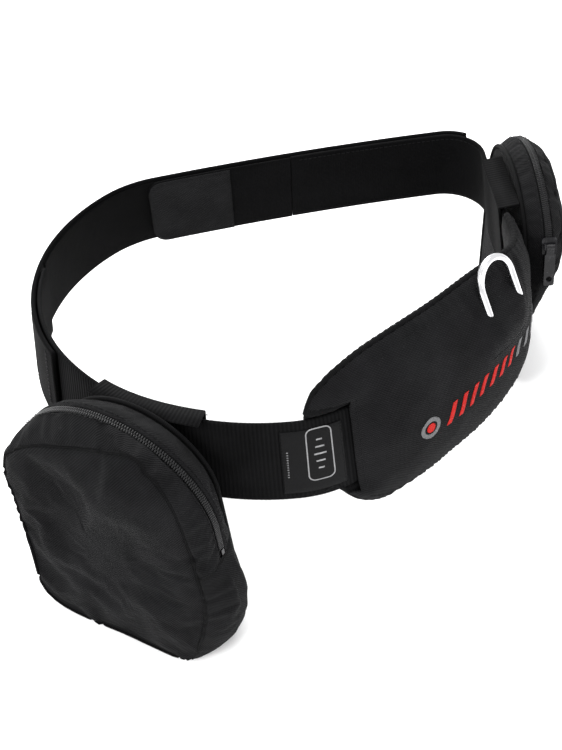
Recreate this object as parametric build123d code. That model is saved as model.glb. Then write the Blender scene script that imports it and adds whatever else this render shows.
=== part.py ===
from build123d import *

import os
from math import cos, degrees, radians, sin

# A dive weight belt: a 50 mm belt closed by hook and loop, a crescent hip pad with a D-ring on one side,
# and two zipped pouches with a bag of lead shot in each. Millimetres, +Z up. The belt stands on the flat
# bottoms of its two pouches, and the origin is under the middle of the whole object, on that surface.
# The wearer stands inside the loop. Seen from above the loop runs counter-clockwise.
#
# Places on the belt are given as (along, offset, across): the distance along the loop, the distance
# outward from its middle surface, and the distance up across its width.

# Driving dimensions of the belt
BELT_WIDTH = 50.0
PLY = 2.3  # thickness of one ply of webbing or strap
GAP = 0.3  # clearance between soft pieces that touch
FLARE = 8.0  # degrees that the lower edge stands out
BELT_HEIGHT = 102.0  # middle of the belt's width above the surface the object stands on
BELT_START = (-132.615, -35.155)  # left end of the front pouch's arc, seen from above
BELT_HEADING = -57.0
POUCH_ARC = (140.0, 58.0)  # radius and turn of each bend, in order round the loop
WEBBING_BEND = (60.0, 35.0)
PAD_FLAT = (640.0, 10.0)
PAD_BEND = (60.0, 44.0)
REAR_STRAIGHT = (None, 86.0)
REAR_CORNER = (26.0, 94.0)
BACK_TURN = 7.0  # the last bends' radii close the loop
LEFT_CORNER = (60.0, 30.0)
LEFT_TURN = 82.0

# Where the belt's pieces begin and end along the loop
WEBBING_ENDS = (-77.0, 232.0)
LEFT_STRAP_ENDS = (447.0, 827.0)
LOOP_PANEL_ENDS = (486.0, 747.0)
RIGHT_STRAP_ENDS = (262.0, 560.0)
TAB_ENDS = (560.4, 651.0)
TAB_CORNER = 9.0
TAB_PATCH_LENGTH = 52.0
LABEL_ENDS = (134.0, 164.0)
LABEL_HEIGHT = 40.0

# The pad's cross-sections: place along the loop, lower edge, upper edge, and how far its face bulges
PAD_STATIONS = [
    (150.0, -20.0, 34.0, 1.0),
    (160.0, -27.0, 45.0, 3.0),
    (171.0, -37.0, 50.0, 6.0),
    (184.0, -44.0, 52.0, 9.5),
    (200.0, -48.0, 52.0, 12.0),
    (235.0, -50.0, 50.0, 14.0),
    (265.0, -51.0, 48.5, 13.3),
    (281.0, -49.5, 46.5, 12.0),
    (291.0, -47.0, 44.5, 11.0),
    (301.0, -43.5, 42.0, 9.5),
    (311.0, -39.0, 39.0, 7.5),
    (322.0, -30.0, 36.5, 4.8),
    (332.0, -18.0, 34.5, 3.2),
    (342.0, -2.0, 33.0, 2.6),
    (350.0, 12.0, 31.5, 2.2),
]
PAD_SLOT = 171.0  # where the webbing goes in under the outer panel
PAD_SKIN = 1.2
PAD_LINING = 4.0
PAD_EDGE = 3.0  # width of the binding round the pad's edge

# D-ring and its keeper
RING_WIRE = 4.0
RING_HALF_WIDTH = 12.5  # bar's middle to the middle of a leg
RING_LEG = 19.0
RING_PLACE = (274.0, 14.2, 24.0)
RING_LEAN = 18.0  # degrees that the ring leans in over the pad
KEEPER_LENGTH = 17.0

# Pouches: u to the right seen from outside, v up, w outward from the belt's middle surface
FRONT_POUCH_PLACE = 62.4
REAR_POUCH_PLACE = 392.0
FRONT_POUCH_ROLL = 3.5  # degrees that the front pouch hangs askew
ARCH_RADIUS = 56.0  # half the pouch's width at the zip
ARCH_HEIGHT = -10.0  # centre of the arched top, from the middle of the belt
LEG = 20.0  # straight ends of the zip below the arch
CORNER_RADIUS = 18.0
BACK = 5.0
# Each pouch's zip, front seam and furthest point, outward from the belt, and how much smaller its outline
# is at the back seam than at the zip. The rear pouch is the flatter one.
FRONT_DEPTHS = (26.0, 44.5, 50.0, 12.0)
REAR_DEPTHS = (17.5, 29.5, 34.0, 6.0)
REAR_ZIP_LIFT = 25.0  # degrees of the arch that the rear pouch's zip stops short by
REAR_ZIP_LEG = 11.5
PULL_LEAN = 14.0  # degrees from plumb at which the rear pull tab rests on the pouch
FRONT_INSET = 7.0
CLOTH = 1.2
ZIP_HALF = 3.4  # half the width of the zip, tapes and coil together
COIL_HALF = 0.9
FRONT_SLEEVE = (66.0, 31.0)  # place and half length
REAR_SLEEVE = (385.0, 24.0)
FRONT_SHOT_BAG = (78.0, 56.0, 26.0)
REAR_SHOT_BAG = (78.0, 56.0, 16.0)

# Zip slider and pull tab
SLIDER_LENGTH = 10.0
SLIDER_WIDTH = 8.4
PIVOT_RADIUS = 0.8
PIVOT_OFFSET = 4.1
PULL_LENGTH = 24.0
PULL_WIDTH = 6.0
PULL_THICKNESS = 1.5


def left(heading):
    """The direction to the left of a heading given in degrees."""
    return Vector(-sin(radians(heading)), cos(radians(heading)), 0)


def advance(point, heading, radius, distance):
    """The place and heading a distance further on, straight ahead or round a left-hand bend."""
    if radius is None:
        return point - left(heading + 90) * distance, heading
    turned = heading + degrees(distance / radius)
    return point + (left(heading) - left(turned)) * radius, turned


class Chain:
    """A line of tangent bends and straights in the XY plane, which turns left all the way."""

    def __init__(self, start, heading, stretches):
        self.stretches = []
        self.length = 0.0
        point = Vector(*start)
        for radius, amount in stretches:
            run = amount if radius is None else radius * radians(amount)
            self.stretches.append((self.length, run, radius, point, heading))
            point, heading = advance(point, heading, radius, run)
            self.length += run

    def at(self, along):
        """Point and heading at a distance along the chain."""
        along %= self.length
        for first, run, radius, point, heading in self.stretches:
            if along <= first + run:
                return advance(point, heading, radius, along - first)
        return advance(point, heading, radius, run)

    def solid(self, start, end, profile):
        """A closed profile of (offset to the right, height) points, carried from start to end."""
        pieces = []
        for lap in (-self.length, 0, self.length):
            for first, run, radius, point, heading in self.stretches:
                near = max(start, first + lap)
                far = min(end, first + lap + run)
                if far - near < 0.001:
                    continue
                place, turned = advance(point, heading, radius, near - first - lap)
                reach = radius or 0.0
                outline = [(reach + offset, 0, height) for offset, height in profile]
                face = make_face(Polyline(*outline, close=True))
                if radius is None:
                    piece = extrude(face, far - near, dir=(0, 1, 0))
                else:
                    piece = revolve(face, Axis.Z, degrees((far - near) / radius))
                centre = place + left(turned) * reach
                pieces.append(Location(centre, (0, 0, turned - 90)) * piece)
        return join(pieces)

    def face(self, inset, height):
        """The area inside a closed chain, drawn in by an inset, as a flat face at a height."""
        edges = []
        for first, run, radius, point, heading in self.stretches:
            ends = []
            for share in (0, 0.5, 1):
                place, turned = advance(point, heading, radius, run * share)
                ends.append(place + left(turned) * inset + Vector(0, 0, height))
            edges.append(Line(ends[0], ends[2]) if radius is None else ThreePointArc(*ends))
        return make_face(edges)


def join(pieces):
    """Several solids fused into one."""
    whole = pieces[0]
    for piece in pieces[1:]:
        whole = whole + piece
    return whole


def group(pieces):
    """Several separate solids kept in one node."""
    return Compound([solid for piece in pieces for solid in piece.solids()])


def oblong(inner, outer, low, high):
    """Corners of a rectangular profile."""
    return [(inner, low), (outer, low), (outer, high), (inner, high)]


def loop_stretches():
    """The belt's bends in order, with the radii of the back and left side worked out so that it closes."""
    back, side = (1.0, BACK_TURN), (1.0, LEFT_TURN)
    known = [POUCH_ARC, WEBBING_BEND, PAD_FLAT, PAD_BEND, REAR_STRAIGHT, REAR_CORNER]
    known += [back, LEFT_CORNER, side]
    total = Vector(0, 0)
    unit = {}
    heading = BELT_HEADING
    for index, (radius, amount) in enumerate(known):
        run = amount if radius is None else radius * radians(amount)
        step, heading = advance(Vector(0, 0), heading, radius, run)
        if known[index] in (back, side):
            unit[known[index]] = step
        else:
            total += step
    a, b = unit[back], unit[side]
    spread = a.X * b.Y - a.Y * b.X
    back_radius = (b.X * total.Y - b.Y * total.X) / spread
    side_radius = (a.Y * total.X - a.X * total.Y) / spread
    return known[:6] + [(back_radius, BACK_TURN), LEFT_CORNER, (side_radius, LEFT_TURN)]


BELT = Chain(BELT_START, BELT_HEADING, loop_stretches())


def flared(offset, across):
    """Horizontal offset and height of a place on the flared belt."""
    tilt = radians(FLARE)
    return offset * cos(tilt) - across * sin(tilt), offset * sin(tilt) + across * cos(tilt)


def belt_point(along, offset, across):
    """A place on the belt in the part's frame, before the whole is lifted to its height."""
    point, heading = BELT.at(along)
    out, up = flared(offset, across)
    return point - left(heading) * out + Vector(0, 0, up)


def band(start, end, inner, outer, low=-BELT_WIDTH / 2, high=BELT_WIDTH / 2):
    """A stretch of one ply between two offsets and two heights across the belt."""
    corners = oblong(inner, outer, low, high)
    return BELT.solid(start, end, [flared(*corner) for corner in corners])


def belt_plane(along, offset, across, tilt=FLARE):
    """A plane on the belt: x along the loop, y up across it, z outward."""
    heading = BELT.at(along)[1]
    out = -left(heading)
    normal = out * cos(radians(tilt)) + Vector(0, 0, sin(radians(tilt)))
    return Plane(origin=belt_point(along, offset, across), x_dir=-left(heading + 90), z_dir=normal)


def belt_pieces():
    """Webbing, straps, closure panels, label and stitching."""
    inner_ply = (-PLY - 0.1, -0.1)
    pieces = {
        "belt_webbing": band(*WEBBING_ENDS, *inner_ply),
        "left_strap": band(*LEFT_STRAP_ENDS, 1.1, 1.1 + PLY),
        "loop_panel": band(*LOOP_PANEL_ENDS, 0.15, 1.0, -23, 23),
        "right_strap": band(*RIGHT_STRAP_ENDS, *inner_ply),
        "size_label": band(*LABEL_ENDS, 0.0, 0.5, -LABEL_HEIGHT / 2, LABEL_HEIGHT / 2),
    }
    tab_length = TAB_ENDS[1] - TAB_ENDS[0]
    middle = (TAB_ENDS[0] + TAB_ENDS[1]) / 2
    tab_outline = RectangleRounded(tab_length + 40, BELT_WIDTH, TAB_CORNER)
    patch_outline = RectangleRounded(tab_length + 39.4, BELT_WIDTH - 0.6, TAB_CORNER)
    cutter = belt_plane(middle, 0, 0) * (Pos(-20, 0) * extrude(tab_outline, 20, both=True))
    patch_cutter = belt_plane(middle, 0, 0) * (Pos(-20, 0) * extrude(patch_outline, 20, both=True))
    patch_start = TAB_ENDS[1] - TAB_PATCH_LENGTH
    pieces["closure_tab"] = band(*TAB_ENDS, -PLY - 0.1, -1.2) & cutter
    pieces["hook_panel"] = band(TAB_ENDS[0] + 2, TAB_ENDS[1] - 3, -1.1, -0.1, -22, 22)
    pieces["tab_patch"] = band(patch_start, TAB_ENDS[1], -PLY - 0.9, -PLY - 0.2) & patch_cutter
    tacks = [band(s, s + 2.2, 1.2 + PLY, 1.8 + PLY, -21, 21) for s in (754.0, 786.0, 818.0)]
    pieces["strap_bar_tacks"] = group(tacks)
    return pieces


def pad_section(along, low, high, base, belly, rim=0.0):
    """Half of a lens: flat along the belt at the base offset, and bulging out or in to the belly offset."""
    low, high = low + rim, high - rim
    ends = [belt_point(along, base, low), belt_point(along, base, high)]
    arc = ThreePointArc(ends[0], belt_point(along, belly, (low + high) / 2), ends[1])
    return make_face([arc, Line(ends[1], ends[0])])


def pad_shell(along, low, high, bulge):
    """Cross-section of the pad's outer panel, a curved skin open towards the belt."""
    middle = (low + high) / 2
    belly = belt_point(along, GAP + bulge, middle)
    outer = [belt_point(along, GAP, low), belly, belt_point(along, GAP, high)]
    inner_low, inner_high = low + PAD_EDGE, high - PAD_EDGE
    inner_top = belt_point(along, GAP, inner_high)
    inner_bottom = belt_point(along, GAP, inner_low)
    inner_belly = belt_point(along, max(GAP + bulge - PAD_SKIN, 0.9), middle)
    edges = [
        ThreePointArc(*outer),
        Line(outer[2], inner_top),
        ThreePointArc(inner_top, inner_belly, inner_bottom),
        Line(inner_bottom, outer[0]),
    ]
    return make_face(edges)


def pad_rim(along, low, high):
    """Cross-section of the binding at one edge of the pad."""
    corners = oblong(-PLY - 0.1, 0.0, low, high)
    return make_face(Polyline(*[belt_point(along, o, v) for o, v in corners], close=True))


def pad_offset(along, across):
    """Offset of the pad's face at a place on it."""
    for (s0, l0, h0, b0), (s1, l1, h1, b1) in zip(PAD_STATIONS, PAD_STATIONS[1:]):
        if s0 <= along <= s1:
            share = (along - s0) / (s1 - s0)
            low, high, bulge = (p + (q - p) * share for p, q in ((l0, l1), (h0, h1), (b0, b1)))
            half = (high - low) / 2
            radius = (half * half + bulge * bulge) / (2 * bulge)
            reach = across - (low + high) / 2
            return GAP + bulge - radius + (radius * radius - reach * reach) ** 0.5
    raise ValueError("not on the pad")


def motif():
    """Raised emblem on the pad: a round badge and a row of slanted bars, in thread."""
    badge = belt_plane(212, pad_offset(212, -9) + 1.0, -9) * extrude(Circle(6.5), 0.7)
    bars = []
    for index in range(10):
        along = 226 + index * 8.2
        across = -10.0
        plane = belt_plane(along, pad_offset(along, across) + 1.0, across)
        bar = Rot(0, 0, -24) * Rectangle(3.4, 11.0 - 0.4 * index)
        bars.append(plane * extrude(bar, 0.7))
    return group([badge] + bars)


def pad_pieces():
    """Hip pad: outer panel over a foam core, lining against the wearer, and a binding round the edge."""
    padded = [station for station in PAD_STATIONS if station[0] >= PAD_SLOT]
    above = [station for station in padded if station[2] > BELT_WIDTH / 2 + PAD_EDGE + 1]
    below = [station for station in padded if station[1] < -BELT_WIDTH / 2 - PAD_EDGE - 1]
    face = -PLY - 1.0
    lining = [pad_section(s, low, high, face, face - PAD_LINING) for s, low, high, _ in PAD_STATIONS]
    core = [
        pad_section(s, low, high, 0.9, GAP + bulge - PAD_SKIN - 1.2, PAD_EDGE + 4)
        for s, low, high, bulge in padded
        if bulge > 4
    ]
    rims = [
        loft([pad_rim(s, high - PAD_EDGE, high) for s, low, high, _ in above]),
        loft([pad_rim(s, low, low + PAD_EDGE) for s, low, high, _ in below]),
    ]
    return {
        "pad_outer_panel": loft([pad_shell(*station) for station in padded]),
        "pad_foam": loft(core),
        "pad_lining": loft(lining),
        "pad_binding": group(rims),
        "pad_motif": motif(),
    }


def ring_location():
    """Place of the D-ring at its bar: x along the bar, y towards the ring's top, z outward."""
    return belt_plane(*RING_PLACE).location * Rot(-RING_LEAN, 0, 0)


def ring_pieces():
    """D-ring of round wire, and the loop of tape that holds its bar to the pad."""
    wire = RING_WIRE / 2
    bar = Rot(0, 90, 0) * Cylinder(wire, 2 * RING_HALF_WIDTH)
    top = Pos(0, RING_LEG) * (Torus(RING_HALF_WIDTH, wire) & Pos(0, 25, 0) * Box(60, 50, 20))
    parts = [bar, top]
    for side in (-RING_HALF_WIDTH, RING_HALF_WIDTH):
        parts.append(Pos(side, RING_LEG / 2) * Rot(90, 0, 0) * Cylinder(wire, RING_LEG))
        parts.append(Pos(side, 0) * Sphere(wire))
    tape = Cylinder(wire + 1.3, KEEPER_LENGTH) - Cylinder(wire + 0.15, KEEPER_LENGTH)
    keeper = Rot(0, 90, 0) * tape
    return {"d_ring": ring_location() * join(parts), "ring_keeper": belt_plane(*RING_PLACE) * keeper}


def pouch_outline(roll):
    """The pouch's outline at the zip, from the zip's right end up over the arch and round by the bottom.
    The bottom edge is level when the pouch hangs askew by roll degrees, so the right side is the longer."""
    slope = radians(roll)
    reach = ARCH_RADIUS - CORNER_RADIUS
    drop = BELT_HEIGHT - CORNER_RADIUS
    left_side = ARCH_HEIGHT - LEG + (drop - reach * sin(slope)) / cos(slope)
    right_side = ARCH_HEIGHT - LEG + (drop + reach * sin(slope)) / cos(slope)
    stretches = [
        (None, LEG),
        (ARCH_RADIUS, 180.0),
        (None, LEG + left_side),
        (CORNER_RADIUS, 90.0 - roll),
        (None, 2 * reach / cos(slope)),
        (CORNER_RADIUS, 90.0 + roll),
        (None, right_side),
    ]
    return Chain((ARCH_RADIUS, ARCH_HEIGHT - LEG), 90.0, stretches)


def sleeve(place, half_length):
    """Fabric channel on the pouch's back, which holds the belt against it and slides along it."""
    inside, outside = -PLY - 0.8, BACK - 1.3
    height = BELT_WIDTH / 2 + 2.6
    profile = [
        (outside, flared(0, height)[1] + 1.0),
        (flared(inside - 1.0, height + 1.0)[0], flared(inside - 1.0, height + 1.0)[1]),
        (flared(inside - 1.0, -height - 1.0)[0], flared(inside - 1.0, -height - 1.0)[1]),
        (outside, flared(0, -height)[1] - 1.0),
        (outside, flared(0, -height)[1]),
        flared(inside, -height),
        flared(inside, height),
        (outside, flared(0, height)[1]),
    ]
    return BELT.solid(place - half_length, place + half_length, profile)


def zip_slider():
    """Slider at the closed end of the zip: x outward from the zip, y up along it, z across it."""
    top = Pos(1.6, 0, 0) * Box(1.2, SLIDER_LENGTH, SLIDER_WIDTH)
    cheeks = [Pos(3.5, 0, side) * Box(2.8, 3.2, 1.0) for side in (-2.9, 2.9)]
    pivot = Pos(PIVOT_OFFSET, 0, 0) * Cylinder(PIVOT_RADIUS, 5.4)
    under = Pos(-2.4, 0, 0) * Box(1.0, SLIDER_LENGTH, SLIDER_WIDTH - 1.0)
    return group([join([fillet(top.edges().filter_by(Axis.X), 1.6), *cheeks, pivot]), under])


def pull_tab():
    """Pull tab with a hole near its end, hanging along -y from the pivot that it turns on."""
    hole = PIVOT_RADIUS + 0.1
    knuckle = Cylinder(hole + 0.7, 4.4)
    plate = Pos(0, -PULL_LENGTH / 2, 0) * Box(PULL_THICKNESS, PULL_LENGTH, PULL_WIDTH)
    plate = fillet(plate.edges().filter_by(Axis.X), 1.4)
    neck = Pos(0, -1.4, 0) * Box(PULL_THICKNESS + 2, 6.4, 10) - Cylinder(10, 4.4)
    plate -= neck
    eye = Pos(0, -PULL_LENGTH + 4.2, 0) * Rot(0, 90, 0) * Cylinder(1.7, 6)
    return knuckle + plate - Cylinder(hole, 20) - eye


def pouch_pieces(name, place, channel, roll, depths, shot_bag, lift, leg, lean):
    """One zipped pouch on the belt, with its slider, pull tab and bag of shot. Its zip stops short of the
    arch's left end by lift degrees, with a straight leg beyond its slider."""
    zip_depth, front, furthest, back_inset = depths
    outline = pouch_outline(roll)
    zip_end = LEG + ARCH_RADIUS * radians(180 - lift) + leg
    full = outline.length
    near, far = zip_depth - ZIP_HALF, zip_depth + ZIP_HALF
    back_seam = (-back_inset, BACK + CLOTH + 0.2)
    front_seam = (-FRONT_INSET, front - 0.3)

    def run(start, end, *points):
        return outline.solid(start, end, list(points))

    def strip(start, end, first, last):
        return run(start, end, first, last, (last[0] - CLOTH, last[1]), (first[0] - CLOTH, first[1]))

    gusset = [back_seam, (0, near), (0, far), front_seam]
    gusset += [(offset - CLOTH, height) for offset, height in reversed(gusset)]
    coil = oblong(-1.4, 0.4, zip_depth - COIL_HALF, zip_depth + COIL_HALF)
    rear_tape = oblong(-1.1, -0.3, near + 0.1, zip_depth - 1.1)
    front_tape = oblong(-1.1, -0.3, zip_depth + 1.1, far - 0.1)
    piping = oblong(-FRONT_INSET - 2, -FRONT_INSET, front, front + 2)
    binding = oblong(-back_inset, -back_inset + 1.4, BACK - 1, BACK + 1)
    stop = oblong(-1.5, 0.8, zip_depth - 1, zip_depth + 1)

    rim = outline.face(FRONT_INSET + 2.3, front)
    crown = outline.face(CORNER_RADIUS - 2, furthest)
    hollow_rim = outline.face(FRONT_INSET + 2.3 + 2.4, front - 1)
    hollow_crown = outline.face(CORNER_RADIUS - 1.5, furthest - CLOTH)
    bag_length, bag_height, bag_depth = shot_bag
    bag_floor = -BELT_HEIGHT + CLOTH + 6
    bag = Pos(0, bag_floor + bag_height / 2, (BACK + front) / 2) * Box(bag_length, bag_height, bag_depth)
    arch = Pos(0, ARCH_HEIGHT, zip_depth)
    slider_place = arch * Rot(0, 0, -lift) * Location((-ARCH_RADIUS, 0, 0), (0, 180, 0))

    local = {
        "back_panel": extrude(outline.face(back_inset + 0.2, BACK), CLOTH),
        "back_binding": run(0, full, *binding),
        "rear_gusset": strip(0, zip_end, back_seam, (0, near)),
        "front_gusset": strip(0, zip_end, (0, far), front_seam),
        "lower_gusset": run(zip_end + 0.2, full - 0.2, *gusset),
        "zip_tape_rear": run(0.5, zip_end - 0.5, *rear_tape),
        "zip_tape_front": run(0.5, zip_end - 0.5, *front_tape),
        "zip_coil": run(5.0, zip_end - 5.0, *coil),
        "zip_stops": group([run(1.0, 4.6, *stop), run(zip_end - 4.6, zip_end - 1.0, *stop)]),
        "front_piping": run(0, full, *piping),
        "front_panel": loft([rim, crown], ruled=True) - loft([hollow_rim, hollow_crown], ruled=True),
        "shot_bag": fillet(bag.edges(), min(9.0, 0.42 * bag_depth)),
        "slider": slider_place * zip_slider(),
        "pull_tab": slider_place * Pos(PIVOT_OFFSET, 0, 0) * Rot(0, 0, roll - lift + lean) * pull_tab(),
    }
    hung = belt_plane(place, 0, 0, tilt=0).location * Rot(0, 0, roll)
    pieces = {f"{name}_{piece}": hung * solid for piece, solid in local.items()}
    pieces[f"{name}_sleeve"] = sleeve(*channel)
    return pieces


def all_pieces():
    """Every named piece of the belt, standing on the surface at Z 0."""
    pieces = belt_pieces() | pad_pieces() | ring_pieces()
    front_zip = (0.0, LEG, 0.0)
    rear_zip = (REAR_ZIP_LIFT, REAR_ZIP_LEG, PULL_LEAN)
    front = (FRONT_POUCH_PLACE, FRONT_SLEEVE, FRONT_POUCH_ROLL, FRONT_DEPTHS, FRONT_SHOT_BAG, *front_zip)
    rear = (REAR_POUCH_PLACE, REAR_SLEEVE, 0.0, REAR_DEPTHS, REAR_SHOT_BAG, *rear_zip)
    pieces |= pouch_pieces("front_pouch", *front) | pouch_pieces("rear_pouch", *rear)
    return {name: Pos(0, 0, BELT_HEIGHT) * solid for name, solid in pieces.items()}


def main():
    os.makedirs("parts", exist_ok=True)
    for name, solid in all_pieces().items():
        solid.label = name
        export_step(solid, f"parts/{name}.step")


main()
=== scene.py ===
"""Looks of a dive weight belt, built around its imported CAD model.

Positions on the belt are (along, offset, across), in millimetres: the distance along the loop, the distance
outward from the belt's middle surface and the distance up across its width. Pouches have (u, v, w): right,
up and outward. Everything becomes metres as its mesh is made.
"""

from contextlib import contextmanager
from math import cos, pi, radians, sin

import bmesh
import bpy
import numpy as np
from mathutils import Matrix, Vector, noise


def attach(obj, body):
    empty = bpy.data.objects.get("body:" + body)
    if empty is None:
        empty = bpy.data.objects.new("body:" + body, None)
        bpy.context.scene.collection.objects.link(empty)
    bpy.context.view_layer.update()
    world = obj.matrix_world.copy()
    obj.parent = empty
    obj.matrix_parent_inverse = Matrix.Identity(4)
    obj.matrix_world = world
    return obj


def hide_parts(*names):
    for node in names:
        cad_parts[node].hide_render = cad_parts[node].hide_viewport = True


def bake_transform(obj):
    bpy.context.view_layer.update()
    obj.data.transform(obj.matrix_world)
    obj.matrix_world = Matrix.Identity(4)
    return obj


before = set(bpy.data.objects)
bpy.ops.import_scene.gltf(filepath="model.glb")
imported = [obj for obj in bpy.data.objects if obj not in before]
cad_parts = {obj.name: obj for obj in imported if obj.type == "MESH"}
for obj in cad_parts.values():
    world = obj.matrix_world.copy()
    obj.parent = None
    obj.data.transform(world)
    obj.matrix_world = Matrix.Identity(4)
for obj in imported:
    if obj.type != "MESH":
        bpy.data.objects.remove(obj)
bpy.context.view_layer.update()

# ---------------------------------------------------------------- the belt's line, as in the CAD model

BELT_HEIGHT = 102.0
BELT_START = (-132.615, -35.155)
BELT_HEADING = -57.0
PLY = 2.3
FLARE = radians(8.0)
STRETCHES = [
    (140.0, 58.0),
    (60.0, 35.0),
    (640.0, 10.0),
    (60.0, 44.0),
    (None, 86.0),
    (26.0, 94.0),
    (1487.79, 7.0),
    (60.0, 30.0),
    (105.592, 82.0),
]


def leftward(heading):
    return np.stack([-np.sin(heading), np.cos(heading)], -1)


class Chain:
    """A line of tangent bends and straights in a plane, which turns left all the way."""

    def __init__(self, start, heading, stretches):
        self.parts = []
        point = np.array(start, float)
        heading = radians(heading)
        first = 0.0
        for radius, amount in stretches:
            run = amount if radius is None else radius * radians(amount)
            self.parts.append((first, run, radius, point, heading))
            point, heading = self.step(point, heading, radius, np.array(run))
            first += run
        self.length = first

    @staticmethod
    def step(point, heading, radius, distance):
        if radius is None:
            ahead = np.array([cos(heading), sin(heading)])
            return point + distance[..., None] * ahead, heading + 0 * distance
        turned = heading + distance / radius
        return point + (leftward(heading) - leftward(turned)) * radius, turned

    def at(self, along):
        """Points and headings at distances along the chain, which wraps round."""
        along = np.mod(np.asarray(along, float), self.length)
        points = np.zeros(along.shape + (2,))
        headings = np.zeros(along.shape)
        for first, run, radius, point, heading in self.parts:
            inside = (along >= first) & (along <= first + run + 1e-6)
            if inside.any():
                into = along[inside] - first
                points[inside], headings[inside] = self.step(point, float(heading), radius, into)
        return points, headings


BELT = Chain(BELT_START, BELT_HEADING, STRETCHES)


def belt_point(along, offset, across):
    """Places on the belt in the frame, in millimetres, from arrays or numbers."""
    along, offset, across = np.broadcast_arrays(*(np.asarray(x, float) for x in (along, offset, across)))
    points, headings = BELT.at(along)
    out = offset * cos(FLARE) - across * sin(FLARE)
    up = offset * sin(FLARE) + across * cos(FLARE)
    flat = points - leftward(headings) * out[..., None]
    return np.concatenate([flat, up[..., None] + BELT_HEIGHT], -1)


def belt_axes(along):
    """Directions along, across and outward of the belt at a place."""
    heading = float(BELT.at(along)[1])
    ahead = np.array([cos(heading), sin(heading), 0])
    out = np.array([sin(heading), -cos(heading), 0])
    outward = out * cos(FLARE) + np.array([0, 0, sin(FLARE)])
    return ahead, np.cross(outward, ahead), outward


# ---------------------------------------------------------------- making meshes

MM = 0.001


def unit(vectors):
    return vectors / np.linalg.norm(vectors, axis=1)[:, None]


def square_to(ahead, outward):
    """Unit vectors square to ahead, on the side of outward."""
    return unit(outward - ahead * np.sum(outward * ahead, axis=1)[:, None])


def round_heading(path):
    """Unit directions along a closed path."""
    return unit(np.roll(path, -1, 0) - np.roll(path, 1, 0))


def left_of(ahead):
    return np.stack([-ahead[:, 1], ahead[:, 0]], -1)


def circle(count):
    return np.linspace(0, 2 * pi, count + 1)[:-1]


def run_along(path):
    """Distance along a path from its start to each of its points."""
    return np.concatenate([[0], np.cumsum(np.linalg.norm(np.diff(path, axis=0), axis=1))])


def pairs(rows, columns):
    """A grid of coordinate pairs, from one value per row and one per column."""
    return np.stack(np.broadcast_arrays(rows[:, None], columns[None, :]), -1)


def hermite(t, h, values, slope, i):
    """Smooth value at a share t of the interval after station i, which is h long."""
    return ((2 * t**3 - 3 * t**2 + 1) * values[i] + (t**3 - 2 * t**2 + t) * h * slope[i]
            + (3 * t**2 - 2 * t**3) * values[i + 1] + (t**3 - t**2) * h * slope[i + 1])


def linked(name, data):
    """A new object in the scene."""
    thing = bpy.data.objects.new(name, data)
    bpy.context.scene.collection.objects.link(thing)
    return thing


@contextmanager
def editing(mesh):
    work = bmesh.new()
    work.from_mesh(mesh)
    yield work
    work.to_mesh(mesh)
    work.free()


def thicken(piece, thickness):
    """Gives a skin its thickness in millimetres, inward."""
    solid = piece.modifiers.new("thickness", "SOLIDIFY")
    solid.thickness = thickness * MM
    solid.offset = -1


def ripple(points, size, seed, depth=2):
    """Smooth noise from about -1 to 1 at points in millimetres."""
    shift = Vector((seed * 17.3, seed * 5.1, -seed * 9.7))
    flat = np.asarray(points, float).reshape(-1, 3) / size
    values = [noise.fractal(Vector(p) + shift, 1.0, 2.0, depth) for p in flat]
    return np.array(values).reshape(np.asarray(points).shape[:-1])


def finish_piece(piece, material, body, nodes=()):
    piece.data.materials.clear()
    piece.data.materials.append(material)
    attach(piece, body)
    if nodes:
        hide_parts(*nodes)
    return piece


def mesh_piece(name, points, faces, uvs=None, tidy=True):
    """A new object from points in millimetres, faces and a weave coordinate per point."""
    mesh = bpy.data.meshes.new(name)
    points = np.asarray(points, float).reshape(-1, 3) * MM
    mesh.from_pydata(points.tolist(), [], [tuple(int(i) for i in face) for face in faces])
    if uvs is not None:
        layer = mesh.uv_layers.new(name="weave")
        corners = np.zeros(len(mesh.loops), np.int32)
        mesh.loops.foreach_get("vertex_index", corners)
        flat = np.asarray(uvs, float).reshape(-1, 2)[corners]
        layer.data.foreach_set("uv", flat.astype(np.float32).ravel())
    if tidy:
        with editing(mesh) as work:
            bmesh.ops.recalc_face_normals(work, faces=work.faces)
    mesh.polygons.foreach_set("use_smooth", [True] * len(mesh.polygons))
    return linked(name, mesh)


def ring_faces(count, size, closed):
    """Quads between neighbouring rings of points, and an end face at each end of an open run."""
    first = np.arange(count if closed else count - 1)[:, None] * size
    k = np.arange(size)[None, :]
    after = (k + 1) % size
    nxt = (first + size) % (count * size)
    quads = np.stack([first + k, first + after, nxt + after, nxt + k], -1).reshape(-1, 4)
    faces = quads.tolist()
    if not closed:
        faces.append(list(range(size))[::-1])
        faces.append(list(range((count - 1) * size, count * size)))
    return faces


def swept(name, rings, closed=False, uvs=None):
    """A closed tube through rings of points, an array of (rings, points, 3) in millimetres."""
    count, size = rings.shape[:2]
    if uvs is None:
        uvs = pairs(run_along(rings[:, 0]), run_along(rings[count // 2]))
    return mesh_piece(name, rings, ring_faces(count, size, closed), uvs)


def slab_section(low, high, inner, outer, steps, rounding=0.5):
    """Profile of a strip as (offset, across), up its outer face, down its inner one, and each point's side."""
    across = np.linspace(low + rounding, high - rounding, steps)
    turn = np.linspace(0, pi, 6)[1:-1]
    half = (outer - inner) / 2
    middle = (outer + inner) / 2
    top = [(middle + half * cos(a), high - rounding + rounding * sin(a)) for a in turn]
    bottom = [(middle - half * cos(a), low + rounding - rounding * sin(a)) for a in turn]
    up = [(outer, v) for v in across]
    down = [(inner, v) for v in across[::-1]]
    side = [1.0] * steps + [0.4] * 4 + [-1.0] * steps + [0.4] * 4
    return np.array(up + top + down + bottom), np.array(side)


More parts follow.
